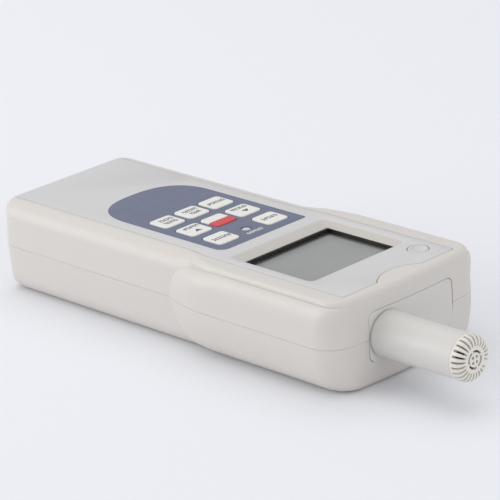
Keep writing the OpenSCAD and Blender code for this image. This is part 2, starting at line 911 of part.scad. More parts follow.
upper_case();
lower_case();
faceplate();
keypad_overlay();
key_upper_right();
key_upper_left();
key_arrow_right();
key_power();
key_arrow_left();
key_lower_right();
key_lower_centre();
key_lower_left();
round_button();
alarm_led();
window_lens();
display_frame();
lcd_glass();
backlight_panel();
zebra_strips();
keypad_mat();
main_board();
board_screws();
main_chip();
amplifier_chips();
crystal();
capacitors();
buzzer();
button_switch();
cable_connector();
end_plate();
mic_barrel();
mic_grille();
mic_mesh();
mic_capsule();
capsule_sleeve();
preamp_board();
mic_nut();
mic_seal();
mic_cable();
battery_door();
battery_cells();
battery_springs();
rear_contacts();
bridge_contact();
end_contacts();
battery_leads();
case_screws();
tripod_insert();
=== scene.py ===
"""Looks of a handheld sound level meter: moulded case, keypad, display and microphone barrel.

Lengths in the helpers are millimetres; MM turns them into the frame's metres.
"""
import math
import random

import bpy
from mathutils import Matrix, Vector


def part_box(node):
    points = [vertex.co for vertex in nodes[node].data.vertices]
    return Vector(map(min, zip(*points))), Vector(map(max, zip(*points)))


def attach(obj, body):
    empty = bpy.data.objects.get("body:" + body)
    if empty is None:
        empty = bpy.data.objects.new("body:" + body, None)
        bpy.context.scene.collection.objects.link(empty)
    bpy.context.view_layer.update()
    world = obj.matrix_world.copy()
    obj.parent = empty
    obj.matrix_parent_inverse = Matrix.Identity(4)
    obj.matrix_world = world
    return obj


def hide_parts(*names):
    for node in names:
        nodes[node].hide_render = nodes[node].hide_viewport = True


MM = 0.001
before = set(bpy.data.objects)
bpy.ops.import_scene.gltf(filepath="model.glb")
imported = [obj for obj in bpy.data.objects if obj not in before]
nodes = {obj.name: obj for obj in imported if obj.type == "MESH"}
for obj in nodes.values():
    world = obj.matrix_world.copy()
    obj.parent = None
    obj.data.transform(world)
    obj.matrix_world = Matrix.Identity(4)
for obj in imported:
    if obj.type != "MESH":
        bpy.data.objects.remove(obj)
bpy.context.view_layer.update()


def box_mm(node):
    """Lowest and highest corner of a CAD node in millimetres."""
    low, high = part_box(node)
    return [c / MM for c in low], [c / MM for c in high]


# ------------------------------------------------------------------ sizes read from the frame

UPPER_LOW, UPPER_HIGH = box_mm("upper_case")
PLATE_LOW, PLATE_HIGH = box_mm("faceplate")
OVERLAY_LOW, OVERLAY_HIGH = box_mm("keypad_overlay")
BARREL_LOW, BARREL_HIGH = box_mm("mic_barrel")
BUTTON_LOW, BUTTON_HIGH = box_mm("round_button")

HALF_LEN = -UPPER_LOW[1]
BULGE_HALF = UPPER_HIGH[0]
CASE_H = UPPER_HIGH[2]
DECK_TOP = PLATE_LOW[2]
PLATE_FRONT_HALF = PLATE_HIGH[0]
PLATE_FRONT_Y = PLATE_HIGH[1]
MIC_X = (BARREL_LOW[0] + BARREL_HIGH[0]) / 2
MIC_Z = (BARREL_LOW[2] + BARREL_HIGH[2]) / 2
MIC_R = (BARREL_HIGH[0] - BARREL_LOW[0]) / 2
MIC_TIP = box_mm("mic_grille")[1][1]
BUTTON_X = (BUTTON_LOW[0] + BUTTON_HIGH[0]) / 2
BUTTON_Y = (BUTTON_LOW[1] + BUTTON_HIGH[1]) / 2
KEY_TOP = box_mm("key_power")[1][2]

# ------------------------------------------------------------------ shape of the case

SEAM_Z = 16.5
SEAM_GAP = 0.02
SEAM_CHAMFER = 0.08
WALL = 2.2
BOW = 0.0018
REAR_SEAM_HALF = 30.6
REAR_LOW_HALF = 30.0
LOW_FILLET = 5.9
TOP_FILLET = 6.0
TOP_FILLET_Z = CASE_H - TOP_FILLET
TOP_EDGE_HALF = 24.1
# Crease and rim: a value at the bulge's rear end, then one toward the microphone.
CREASE_Z = (28.7, 29.9)
CREASE_HALF = (30.3, 31.45)
CREASE_RISE_Y = (10.0, 32.0)
CREASE_DEPTH, CREASE_WIDTH = 0.14, 0.3
RIM_HALF = (27.6, 30.4)
RIM_ROUND = 0.85
BULGE_TOP_Z = 23.2
BULGE_ROUND = 0.995
BULGE_TOP_HALF = BULGE_HALF - 0.2
BULGE_FILLET_Z = 5.5
BULGE_UNDERCUT = 7.0
BULGE_CENTRE = (13.0, 17.5)
BULGE_REACH = 10.1
BULGE_UP = CREASE_Z[0] - BULGE_CENTRE[1]
BULGE_DOWN = 15.5
BULGE_FULL_Y = 22.0
UNDERCUT_RATE = 0.014
FRONT_FILLET = 1.8
FOOT_FRONT_Y = 79.3
FOOT_FRONT_FILLET, FOOT_REAR_FILLET = 2.5, 2.0
PLATE_REAR_FILLET = 1.5
REAR_CORNER = 5.0
INSERT_Y = 12.0
DECK_UNDER = DECK_TOP - 1.8


def smooth(t):
    """Eased step from 0 to 1."""
    t = min(max(t, 0.0), 1.0)
    return t * t * (3 - 2 * t)


def rear_half(z):
    """Half width of the slim rear case at height z."""
    if z <= LOW_FILLET:
        rounding = math.sqrt(max(LOW_FILLET**2 - (LOW_FILLET - z) ** 2, 0))
        return REAR_LOW_HALF - LOW_FILLET + rounding
    if z <= SEAM_Z:
        climb = (REAR_SEAM_HALF - REAR_LOW_HALF) * (z - LOW_FILLET)
        return REAR_LOW_HALF + climb / (SEAM_Z - LOW_FILLET)
    if z <= TOP_FILLET_Z:
        return REAR_SEAM_HALF - 0.5 * (z - SEAM_Z) / (TOP_FILLET_Z - SEAM_Z)
    return TOP_EDGE_HALF + math.sqrt(max(TOP_FILLET**2 - (z - TOP_FILLET_Z) ** 2, 0))


def bulge_half(y, z):
    """Half width across the side bulges at height z.

    The fine crease above them climbs toward the front, with the rounded rim over it.
    """
    if z <= SEAM_Z:
        half = BULGE_HALF - UNDERCUT_RATE * (SEAM_Z - z) ** 2
        if z < BULGE_FILLET_Z:
            drop = (BULGE_FILLET_Z - z) / BULGE_FILLET_Z
            half -= BULGE_UNDERCUT * (1 - math.sqrt(1 - drop**2))
        return max(half, rear_half(z))
    if z <= BULGE_TOP_Z:
        lean = (BULGE_HALF - BULGE_TOP_HALF) * (z - SEAM_Z)
        return BULGE_HALF - lean / (BULGE_TOP_Z - SEAM_Z)
    climb = smooth((y - CREASE_RISE_Y[0]) / (CREASE_RISE_Y[1] - CREASE_RISE_Y[0]))
    crease_z, crease_half, rim_half = (
        a + (b - a) * climb for a, b in (CREASE_Z, CREASE_HALF, RIM_HALF)
    )
    groove = CREASE_DEPTH * max(1 - abs(z - crease_z) / CREASE_WIDTH, 0.0)
    if z <= crease_z:
        rise = BULGE_ROUND * (z - BULGE_TOP_Z) / (crease_z - BULGE_TOP_Z)
        left = math.sqrt(1 - BULGE_ROUND**2)
        curve = (math.sqrt(1 - rise * rise) - left) / (1 - left)
        return crease_half + (BULGE_TOP_HALF - crease_half) * curve - groove
    depth = RIM_ROUND * (CASE_H - z) / (CASE_H - crease_z)
    curve = math.sqrt(max(1 - (1 - depth) ** 2, 0)) / math.sqrt(1 - (1 - RIM_ROUND) ** 2)
    return rim_half + (crease_half - rim_half) * curve - groove


def crease_y(z):
    """Where the side bulge starts at height z: the rounded rear end of the pillow shape."""
    reach = BULGE_UP if z > BULGE_CENTRE[1] else BULGE_DOWN
    t = min(abs(z - BULGE_CENTRE[1]) / reach, 1.0)
    return BULGE_CENTRE[0] - BULGE_REACH * math.sqrt(1 - t * t)


def half_width(y, z):
    """Half width of the case at any place along its side."""
    start = crease_y(z)
    t = min(max((y - start) / (BULGE_FULL_Y - start), 0.0), 1.0)
    swell = 1 - (1 - t) ** 2
    above = min(max((z - CREASE_Z[0]) / 1.6, 0.0), 1.0)
    weight = swell * (1 - above) + smooth((y - 6.5) / 11.5) * above
    return rear_half(z) + (bulge_half(y, z) - rear_half(z)) * weight


def front_y(z):
    """Front end of the case on its centre line at height z."""
    fillet = FOOT_FRONT_FILLET
    if z < fillet:
        return FOOT_FRONT_Y - fillet + math.sqrt(fillet * fillet - (fillet - z) ** 2)
    if z < SEAM_Z:
        return FOOT_FRONT_Y + (HALF_LEN - FOOT_FRONT_Y) * (z - fillet) / (SEAM_Z - fillet)
    if z < CASE_H - FRONT_FILLET:
        return HALF_LEN
    rise = z - CASE_H + FRONT_FILLET
    return HALF_LEN - FRONT_FILLET + math.sqrt(max(FRONT_FILLET**2 - rise**2, 0))


def rear_y(z):
    """Rear end of the case at height z."""
    low = z < FOOT_REAR_FILLET
    edge = FOOT_REAR_FILLET if low else PLATE_REAR_FILLET
    depth = edge - z if low else z - (CASE_H - edge)
    if depth <= 0:
        return -HALF_LEN
    return -HALF_LEN + edge - math.sqrt(max(edge * edge - depth * depth, 0))


def corner_radius(z):
    """Radius of the front corners at height z, largest at the seam."""
    if z < SEAM_Z:
        return 6.5 + 3.0 * z / SEAM_Z
    return 9.5 - 3.5 * smooth((z - 20) / (CASE_H - 20))


def case_ring(z, inset=0.0, level=None):
    """Closed outline of the case at height z, pulled in by inset and drawn at height level."""
    level = z if level is None else level
    right = []
    rear = rear_y(z) + inset
    radius = max(REAR_CORNER - 1.6 * smooth((z - 26) / 5.5) - inset, 1.5)
    side = half_width(rear + radius, z) - inset
    for i in range(9):
        a = math.radians(-90 + 90 * i / 8)
        right.append((side - radius + radius * math.cos(a), rear + radius + radius * math.sin(a)))
    begin, start = rear + radius, crease_y(z)
    front_radius = max(corner_radius(z) - inset, 3.0)
    front = front_y(z) - inset
    wide = half_width(60, z) - inset
    tangent = math.radians(85)
    corner_x = wide - front_radius
    contact_x = corner_x + front_radius * math.cos(tangent)
    corner_y = front - BOW * contact_x**2 - front_radius * math.sin(tangent)
    for i in range(1, 15):
        y = begin + (start - begin) * (1 - (1 - i / 14) ** 2.2)
        right.append((half_width(y, z) - inset, y))
    for i in range(1, 25):
        y = start + (BULGE_FULL_Y - start) * (i / 24) ** 1.5
        right.append((half_width(y, z) - inset, y))
    for i in range(1, 17):
        y = BULGE_FULL_Y + (corner_y - BULGE_FULL_Y) * (i / 16) ** 1.4
        right.append((half_width(y, z) - inset, y))
    for i in range(1, 15):
        a = tangent * i / 14
        right.append((corner_x + front_radius * math.cos(a), corner_y + front_radius * math.sin(a)))
    for i in range(1, 16):
        x = contact_x * (1 - i / 16)
        right.append((x, front - BOW * x * x))
    right.append((0.0, front))
    left = [(-x, y) for x, y in reversed(right[:-1])]
    return [(x, y, level) for x, y in right + left]


# ------------------------------------------------------------------ mesh helpers

def mesh_object(name, verts, faces):
    """A new mesh object from corners in millimetres."""
    mesh = bpy.data.meshes.new(name)
    mesh.from_pydata([(x * MM, y * MM, z * MM) for x, y, z in verts], [], faces)
    mesh.update()
    obj = bpy.data.objects.new(name, mesh)
    bpy.context.scene.collection.objects.link(obj)
    return obj


def loft(name, rings):
    """A closed solid through rings of equally many points, the first at the bottom."""
    n = len(rings[0])
    faces = [tuple(reversed(range(n)))]
    for k in range(len(rings) - 1):
        a, b = k * n, (k + 1) * n
        faces += [(a + i, a + (i + 1) % n, b + (i + 1) % n, b + i) for i in range(n)]
    faces.append(tuple(range((len(rings) - 1) * n, len(rings) * n)))
    return mesh_object(name, [p for ring in rings for p in ring], faces)


def lathe(name, profile, place, segments=96):
    """A solid of revolution: profile is (radius, height) from axis to axis, place maps to the frame."""
    inner = profile[1:-1]
    verts = [place(0, 0, profile[0][1])]
    for r, h in inner:
        for i in range(segments):
            a = 2 * math.pi * i / segments
            verts.append(place(r * math.cos(a), r * math.sin(a), h))
    verts.append(place(0, 0, profile[-1][1]))
    last = len(verts) - 1
    faces = [(0, 1 + (i + 1) % segments, 1 + i) for i in range(segments)]
    for k in range(len(inner) - 1):
        a, b = 1 + k * segments, 1 + (k + 1) * segments
        for i in range(segments):
            after = (i + 1) % segments
            faces.append((a + i, a + after, b + after, b + i))
    a = 1 + (len(inner) - 1) * segments
    faces += [(last, a + i, a + (i + 1) % segments) for i in range(segments)]
    return mesh_object(name, verts, faces)


def tube(name, profile, place, segments=96):
    """A ring-shaped solid: profile is a closed (radius, height) outline off the axis."""
    n = len(profile)
    verts = []
    for i in range(segments):
        a = 2 * math.pi * i / segments
        verts += [place(r * math.cos(a), r * math.sin(a), h) for r, h in profile]
    faces = []
    for i in range(segments):
        a, b = i * n, (i + 1) % segments * n
        faces += [(a + j, b + j, b + (j + 1) % n, a + (j + 1) % n) for j in range(n)]
    return mesh_object(name, verts, faces)


def upright(x, y):
    """Place map for round pieces that stand on the back of the meter."""
    return lambda u, v, h: (x + u, y + v, h)


def along_mic(u, v, h):
    """Round pieces of the microphone: height runs along +Y."""
    return (MIC_X + u, h, MIC_Z - v)


def block(name, low, high):
    """A box between two corners."""
    ring = [(low[0], low[1]), (high[0], low[1]), (high[0], high[1]), (low[0], high[1])]
    return loft(name, [[(x, y, z) for x, y in ring] for z in (low[2], high[2])])


def rod(name, x, y, radius, z0, z1, segments=64):
    """An upright cylinder."""
    return lathe(name, [(0, z0), (radius, z0), (radius, z1), (0, z1)], upright(x, y), segments)


def arc(cx, cy, r, a0, a1, n):
    """Points along a circular arc from angle a0 to a1 in degrees."""
    return [
        (cx + r * math.cos(math.radians(a0 + (a1 - a0) * i / n)),
         cy + r * math.sin(math.radians(a0 + (a1 - a0) * i / n)))
        for i in range(n + 1)
    ]


def rounded(w, h, r, n=8, cx=0.0, cy=0.0):
    """Rounded rectangle outline, anticlockwise."""
    x, y = w / 2 - r, h / 2 - r
    return (arc(cx + x, cy + y, r, 0, 90, n) + arc(cx - x, cy + y, r, 90, 180, n)
            + arc(cx - x, cy - y, r, 180, 270, n) + arc(cx + x, cy - y, r, 270, 360, n))


def flat_stack(name, outlines):
    """A solid through flat outlines [(points, z), ...] of equally many points."""
    return loft(name, [[(x, y, z) for x, y in points] for points, z in outlines])


def discard(obj):
    """Removes an object and its mesh."""
    data = obj.data
    bpy.data.objects.remove(obj)
    bpy.data.meshes.remove(data)


def apply_modifiers(obj):
    """Makes the modified shape the object's own mesh."""
    graph = bpy.context.evaluated_depsgraph_get()
    mesh = bpy.data.meshes.new_from_object(obj.evaluated_get(graph))
    old = obj.data
    obj.modifiers.clear()
    obj.data = mesh
    mesh.name = obj.name
    bpy.data.meshes.remove(old)


def combine(obj, others, operation):
    """Boolean of obj with each other solid, applied at once; the other solids are deleted."""
    for other in others:
        modifier = obj.modifiers.new("combine", "BOOLEAN")
        modifier.operation = operation
        modifier.solver = "EXACT"
        modifier.object = other
    apply_modifiers(obj)
    for other in others:
        discard(other)
    return obj


def join(name, parts):
    """One object from several separate solids."""
    verts, faces = [], []
    for part in parts:
        base = len(verts)
        verts += [tuple(c / MM for c in v.co) for v in part.data.vertices]
        faces += [tuple(base + i for i in p.vertices) for p in part.data.polygons]
        discard(part)
    return mesh_object(name, verts, faces)


def finish(obj, material, body="meter", angle=32):
    """Smooth shading with sharp corners kept, one material, and the body the piece rides on."""
    obj.data.shade_smooth()
    obj.data.set_sharp_from_angle(angle=math.radians(angle))
    obj.data.materials.clear()
    obj.data.materials.append(material)
    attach(obj, body)
    return obj


def stand_in(obj, node, material, body="meter"):
    """Finishes a piece that is shown in place of a CAD node, and hides that node."""
    finish(obj, material, body)
    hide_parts(node)


# ------------------------------------------------------------------ materials

def new_material(name):
    """A node material with its tree and its main shader."""
    material = bpy.data.materials.new(name)
    material.use_nodes = True
    tree = material.node_tree
    return material, tree, tree.nodes["Principled BSDF"]


def object_coords(tree):
    return tree.nodes.new("ShaderNodeTexCoord").outputs["Object"]


def noise(tree, size_mm, detail=3.0, rough=0.55):
    """Noise with features of about size_mm, fixed to the piece."""
    node = tree.nodes.new("ShaderNodeTexNoise")
    node.inputs["Scale"].default_value = 1 / (size_mm * MM)
    node.inputs["Detail"].default_value = detail
    node.inputs["Roughness"].default_value = rough
    tree.links.new(object_coords(tree), node.inputs["Vector"])
    return node.outputs["Fac"]


def remap(tree, value, low, high, from_low=0.3, from_high=0.7):
    """Stretches a value to low..high and clamps it there; the defaults suit noise."""
    node = tree.nodes.new("ShaderNodeMapRange")
    node.inputs["From Min"].default_value = from_low
    node.inputs["From Max"].default_value = from_high
    node.inputs["To Min"].default_value = low
    node.inputs["To Max"].default_value = high
    tree.links.new(value, node.inputs["Value"])
    return node.outputs["Result"]


def mix_colour(tree, factor, a, b):
    """Mix of two colours; each argument is a plain value or a socket."""
    node = tree.nodes.new("ShaderNodeMix")
    node.data_type = "RGBA"
    for slot, value in (("Factor", factor), ("A", a), ("B", b)):
        socket = node.inputs[slot]
        if isinstance(value, bpy.types.NodeSocket):
            tree.links.new(value, socket)
        elif isinstance(value, (int, float)):
            socket.default_value = value
        else:
            socket.default_value = (*value, 1.0)
    return node.outputs["Result"]


def shade(colour, factor):
    return tuple(min(c * factor, 1.0) for c in colour)


def bump(tree, bsdf, height, depth_mm, strength=1.0, after=None):
    """Surface relief of depth_mm on the shader, on top of the normals in after."""
    node = tree.nodes.new("ShaderNodeBump")
    node.inputs["Strength"].default_value = strength
    node.inputs["Distance"].default_value = depth_mm * MM
    tree.links.new(height, node.inputs["Height"])
    if after is not None:
        tree.links.new(after, node.inputs["Normal"])
    tree.links.new(node.outputs["Normal"], bsdf.inputs["Normal"])
    return node.outputs["Normal"]


def soft_edges(tree, radius_mm):
    """Normals rounded over the sharp edges of moulded plastic."""
    node = tree.nodes.new("ShaderNodeBevel")
    node.samples = 6
    node.inputs["Radius"].default_value = radius_mm * MM
    return node.outputs["Normal"]


def moulded(name, colour, rough=0.5, mottle=0.02, grain_mm=0.45, grain_depth=0.012, edge_mm=0.12,
            specular=0.5, dirt=0.05):
    """Spark-eroded plastic: fine grain, slight mottling, and faint darkening where dirt settles."""
    material, tree, bsdf = new_material(name)
    grain = noise(tree, grain_mm, 4)
    cloud = noise(tree, 22, 2)
    pale, deep = shade(colour, 1 + mottle), shade(colour, 1 - mottle)
    base = mix_colour(tree, remap(tree, cloud, 0, 1), deep, pale)
    base = mix_colour(tree, remap(tree, grain, 0, 0.5), base, shade(colour, 1 - 2 * mottle))
    specks = remap(tree, noise(tree, 3.0, 6, 0.75), 0, dirt, 0.68, 0.8)
    base = mix_colour(tree, specks, base, shade(colour, 0.45))
    tree.links.new(base, bsdf.inputs["Base Color"])
    gloss = remap(tree, noise(tree, 6, 3), rough - 0.05, rough + 0.05)
    tree.links.new(gloss, bsdf.inputs["Roughness"])
    bsdf.inputs["Specular IOR Level"].default_value = specular
    bump(tree, bsdf, grain, grain_depth, 1.0, soft_edges(tree, edge_mm) if edge_mm else None)
    return material


def tint_along(material, axis, start_mm, end_mm, colour, waver_mm=0.0):
    """Blends a moulded material into another colour between two places along one axis."""
    tree = material.node_tree
    socket = tree.nodes["Principled BSDF"].inputs["Base Color"]
    base = socket.links[0].from_socket
    parts = tree.nodes.new("ShaderNodeSeparateXYZ")
    tree.links.new(object_coords(tree), parts.inputs["Vector"])
    place = tree.nodes.new("ShaderNodeMath")
    tree.links.new(parts.outputs[axis], place.inputs[0])
    waver = remap(tree, noise(tree, 0.9, 2), -waver_mm * MM, waver_mm * MM)
    tree.links.new(waver, place.inputs[1])
    level = remap(tree, place.outputs[0], 0, 1, start_mm * MM, end_mm * MM)
    tree.links.new(mix_colour(tree, level, base, colour), socket)
    return material


def metal(name, colour, rough=0.3, streak_mm=0.25, knurl=False):
    """Plated or turned metal with fine machining marks."""
    material, tree, bsdf = new_material(name)
    bsdf.inputs["Metallic"].default_value = 1.0
    marks = noise(tree, streak_mm, 5)
    stain = noise(tree, 4, 3)
    base = mix_colour(tree, remap(tree, stain, 0, 1), shade(colour, 0.88), shade(colour, 1.06))
    tree.links.new(base, bsdf.inputs["Base Color"])
    tree.links.new(remap(tree, stain, rough - 0.08, rough + 0.1), bsdf.inputs["Roughness"])
    height = marks
    if knurl:
        wave = tree.nodes.new("ShaderNodeTexWave")
        wave.inputs["Scale"].default_value = 400
        tree.links.new(object_coords(tree), wave.inputs["Vector"])
        height = wave.outputs["Fac"]
    bump(tree, bsdf, height, 0.01 if not knurl else 0.1)
    return material


def rubbery(name, colour, rough=0.75):
    """Matt rubber or cable jacket with a fine grain."""
    material, tree, bsdf = new_material(name)
    grain = noise(tree, 0.3, 5, 0.7)
    base = mix_colour(tree, grain, shade(colour, 0.8), shade(colour, 1.2))
    tree.links.new(base, bsdf.inputs["Base Color"])
    gloss = remap(tree, noise(tree, 5, 3), rough - 0.1, rough + 0.1)
    tree.links.new(gloss, bsdf.inputs["Roughness"])
    bump(tree, bsdf, grain, 0.02)
    return material


def laminate(name):
    """Circuit board: solder mask over a grid of tracks."""
    material, tree, bsdf = new_material(name)
    brick = tree.nodes.new("ShaderNodeTexBrick")
    brick.inputs["Scale"].default_value = 260
    brick.inputs["Mortar Size"].default_value = 0.12
    brick.inputs["Color1"].default_value = (0.012, 0.13, 0.05, 1)
    brick.inputs["Color2"].default_value = (0.02, 0.17, 0.07, 1)
    brick.inputs["Mortar"].default_value = (0.035, 0.24, 0.1, 1)
    tree.links.new(object_coords(tree), brick.inputs["Vector"])
    weave = noise(tree, 1.2, 2)
    base = mix_colour(tree, remap(tree, weave, 0, 0.4), brick.outputs["Color"], (0.01, 0.1, 0.045))
    tree.links.new(base, bsdf.inputs["Base Color"])
    tree.links.new(remap(tree, weave, 0.22, 0.38), bsdf.inputs["Roughness"])
    bump(tree, bsdf, brick.outputs["Fac"], 0.03, 0.5)
    return material


def striped(name, colour_a, colour_b, pitch_mm):
    """Elastomer connector: conducting and insulating layers side by side."""
    material, tree, bsdf = new_material(name)
    wave = tree.nodes.new("ShaderNodeTexWave")
    wave.inputs["Scale"].default_value = 0.5 / (pitch_mm * MM)
    tree.links.new(object_coords(tree), wave.inputs["Vector"])
    base = mix_colour(tree, wave.outputs["Fac"], colour_a, colour_b)
    tree.links.new(base, bsdf.inputs["Base Color"])
    bsdf.inputs["Roughness"].default_value = 0.6
    return material


def printed_sleeve(name, body, band, axis, split_mm):
    """Shrink sleeve with a contrasting band from split_mm on along one axis."""
    material, tree, bsdf = new_material(name)
    parts = tree.nodes.new("ShaderNodeSeparateXYZ")
    tree.links.new(object_coords(tree), parts.inputs["Vector"])
    level = remap(tree, parts.outputs[axis], 0, 1, (split_mm - 0.05) * MM, (split_mm + 0.05) * MM)
    base = mix_colour(tree, level, body, band)
    base = mix_colour(tree, remap(tree, noise(tree, 2, 4), 0, 0.25), base, shade(body, 0.6))
    tree.links.new(base, bsdf.inputs["Base Color"])
    bsdf.inputs["Roughness"].default_value = 0.28
    bump(tree, bsdf, noise(tree, 3, 2), 0.03)
    return material


def woven_mesh(name):
    """Fine blackened wire cloth behind the grille."""
    material, tree, bsdf = new_material(name)
    waves = []
    for direction in ("X", "Z"):
        wave = tree.nodes.new("ShaderNodeTexWave")
        wave.bands_direction = direction
        wave.inputs["Scale"].default_value = 900
        tree.links.new(object_coords(tree), wave.inputs["Vector"])
        waves.append(wave.outputs["Fac"])
    product = tree.nodes.new("ShaderNodeMath")
    product.operation = "MULTIPLY"
    for socket, value in zip(product.inputs, waves):
        tree.links.new(value, socket)
    tree.links.new(mix_colour(tree, product.outputs[0], (0.004, 0.003, 0.002), (0.05, 0.04, 0.035)),
                   bsdf.inputs["Base Color"])
    bsdf.inputs["Metallic"].default_value = 0.4
    bsdf.inputs["Roughness"].default_value = 0.6
    bump(tree, bsdf, product.outputs[0], 0.05)
    return material


def clear_window(name):
    """Clear display window: see-through with a faint surface reflection and light scuffs."""
    material, tree, bsdf = new_material(name)
    clear = tree.nodes.new("ShaderNodeBsdfTransparent")
    clear.inputs["Color"].default_value = (0.97, 0.98, 0.98, 1)
    gloss = tree.nodes.new("ShaderNodeBsdfGlossy")
    tree.links.new(remap(tree, noise(tree, 1.5, 6), 0.03, 0.12), gloss.inputs["Roughness"])
    fresnel = tree.nodes.new("ShaderNodeFresnel")
    fresnel.inputs["IOR"].default_value = 1.5
    side = tree.nodes.new("ShaderNodeNewGeometry")
    outer = tree.nodes.new("ShaderNodeMath")
    outer.operation = "MULTIPLY"
    tree.links.new(fresnel.outputs["Fac"], outer.inputs[0])
    tree.links.new(remap(tree, side.outputs["Backfacing"], 1, 0, 0, 1), outer.inputs[1])
    mix = tree.nodes.new("ShaderNodeMixShader")
    tree.links.new(outer.outputs[0], mix.inputs["Fac"])
    tree.links.new(clear.outputs["BSDF"], mix.inputs[1])
    tree.links.new(gloss.outputs["BSDF"], mix.inputs[2])
    tree.links.new(mix.outputs["Shader"], tree.nodes["Material Output"].inputs["Surface"])
    tree.nodes.remove(bsdf)
    return material


def lcd_surface(name):
    """Switched-off display: grey polariser with a barely visible pixel grid."""
    material, tree, bsdf = new_material(name)
    brick = tree.nodes.new("ShaderNodeTexBrick")
    brick.offset = 0.0
    brick.inputs["Scale"].default_value = 1500
    brick.inputs["Brick Width"].default_value = 0.5
    brick.inputs["Row Height"].default_value = 0.5
    brick.inputs["Mortar Size"].default_value = 0.04
    grey = (0.345, 0.335, 0.33)
    brick.inputs["Color1"].default_value = (*grey, 1)
    brick.inputs["Color2"].default_value = (*grey, 1)
    brick.inputs["Mortar"].default_value = (*shade(grey, 0.95), 1)
    tree.links.new(object_coords(tree), brick.inputs["Vector"])
    cloud = remap(tree, noise(tree, 15, 2), 0, 1)
    base = mix_colour(tree, cloud, brick.outputs["Color"], shade(grey, 1.05))
    tree.links.new(base, bsdf.inputs["Base Color"])
    bsdf.inputs["Roughness"].default_value = 0.42
    return material


CASE_COLOUR = (0.655, 0.62, 0.585)
PLATE_COLOUR = (0.622, 0.61, 0.613)
BARREL_COLOUR = (0.645, 0.625, 0.60)
KEY_COLOUR = (0.80, 0.785, 0.745)
KEY_RED = (0.62, 0.055, 0.065)
# Painted shade for the faceplate below its top surface: the slopes around the display and the walls of its
# openings.
PAINTED_SLOPE_SHADE = (0.57, 0.54, 0.50)

case_plastic = moulded("case_plastic", CASE_COLOUR, 0.46, 0.012, 0.5, 0.01)
plate_plastic = moulded("faceplate_plastic", PLATE_COLOUR, 0.42, 0.01, 0.35, 0.006)
button_plastic = moulded("button_plastic", PLATE_COLOUR, 0.42, 0.01, 0.35, 0.006)
barrel_plastic = moulded("barrel_plastic", BARREL_COLOUR, 0.45, 0.012, 0.4, 0.008)
grille_plastic = moulded("grille_plastic", (0.76, 0.73, 0.67), 0.45, 0.015, 0.4, 0.008, 0.08)
overlay_film = moulded(
    "overlay_film", (0.134, 0.156, 0.231), 0.45, 0.03, 0.3, 0.01, 0.05, specular=0.45, dirt=0.12,
)
key_plastic = moulded("key_plastic", KEY_COLOUR, 0.45, 0.012, 0.35, 0.006, 0.08)
power_key_plastic = moulded("power_key_plastic", KEY_COLOUR, 0.45, 0.012, 0.35, 0.006, 0.08)
legend_ink = moulded("legend_ink", (0.07, 0.085, 0.13), 0.55, 0.1, 0.2, 0.004, 0)
light_ink = moulded("light_ink", (0.78, 0.79, 0.8), 0.55, 0.05, 0.2, 0.004, 0)
lamp_plastic = moulded("lamp_plastic", (0.62, 0.60, 0.58), 0.25, 0.03, 0.5, 0.004, 0)
black_plastic = moulded("black_plastic", (0.012, 0.011, 0.009), 0.5, 0.1, 0.3, 0.01, 0, 0.4)
silicone = rubbery("grey_silicone", (0.32, 0.33, 0.35))
black_rubber = rubbery("black_rubber", (0.02, 0.02, 0.022))
cable_jacket = rubbery("grey_cable_jacket", (0.07, 0.07, 0.08), 0.5)
lead_jacket = rubbery("red_lead_jacket", (0.45, 0.02, 0.015), 0.45)
white_nylon = moulded("white_nylon", (0.82, 0.80, 0.72), 0.4, 0.02, 0.4, 0.006, 0.08)
white_diffuser = moulded("white_diffuser", (0.85, 0.87, 0.8), 0.35, 0.01, 0.6, 0.004, 0.05)
chip_resin = moulded("chip_resin", (0.025, 0.025, 0.028), 0.6, 0.1, 0.12, 0.01, 0.03, 0.4)
screw_steel = metal("screw_steel", (0.56, 0.57, 0.6), 0.3)
can_steel = metal("can_steel", (0.68, 0.68, 0.7), 0.22)
nickel = metal("nickel_plate", (0.66, 0.64, 0.6), 0.25)
nut_metal = metal("nut_metal", (0.6, 0.59, 0.55), 0.3)
brass = metal("insert_brass", (0.72, 0.5, 0.2), 0.28, 0.25, True)
board_laminate = laminate("board_laminate")
elastomer = striped("elastomer_strip", (0.5, 0.2, 0.16), (0.04, 0.03, 0.03), 0.25)
capacitor_sleeve = printed_sleeve(
    "capacitor_sleeve", (0.03, 0.05, 0.13), (0.5, 0.52, 0.55), "X", 16.6,
)
cell_jacket = printed_sleeve("cell_jacket", (0.03, 0.09, 0.06), (0.55, 0.42, 0.2), "Y", -42.0)
mesh_cloth = woven_mesh("wire_cloth")
window_clear = clear_window("clear_window")
lcd_face = lcd_surface("display_glass")


# ------------------------------------------------------------------ outlines of the front face

PLATE_REAR_HALF = 23.9
PLATE_GROWTH_Y = (6.5, 18.0)
PLATE_CORNER = 1.2
PLATE_GAP = 0.26
PLATE_SETBACK = 0.04
NOTCH_R = 14.25
NOTCH_Y = 85.75
OVERLAY_CORNER = 3.4
OVERLAY_ARC_Y = -27.6
OVERLAY_DEPTH = 19.0
OVERLAY_POWER = 2.55
OVERLAY_LEFT_CORNER = 1.3
KEY_W, KEY_L, KEY_R = 9.2, 8.9, 1.3
KEY_GAP = 0.25
KEY_PITCH_X, KEY_PITCH_Y, KEY_MID_Y = 11.1, 12.7, -4.55
KEYPAD_REACH = KEY_PITCH_Y + 5.5
KEYS = {
    "key_upper_right": (1, 1), "key_upper_left": (-1, 1),
    "key_arrow_right": (1, 0), "key_power": (0, 0), "key_arrow_left": (-1, 0),
    "key_lower_right": (1, -1), "key_lower_centre": (0, -1), "key_lower_left": (-1, -1),
}
LED_Y = 8.4
LED_HOLE_R = 1.85
LED_R = 1.75
LED_SHOULDER_Z, LED_DOME = 31.1, 0.65
BEZEL_HALF, BEZEL_Y = 21.6, (22.3, 59.0)
BEZEL_SLOPE, BEZEL_REAR_SLOPE, BEZEL_FRONT_SLOPE = 2.2, 3.8, 2.5
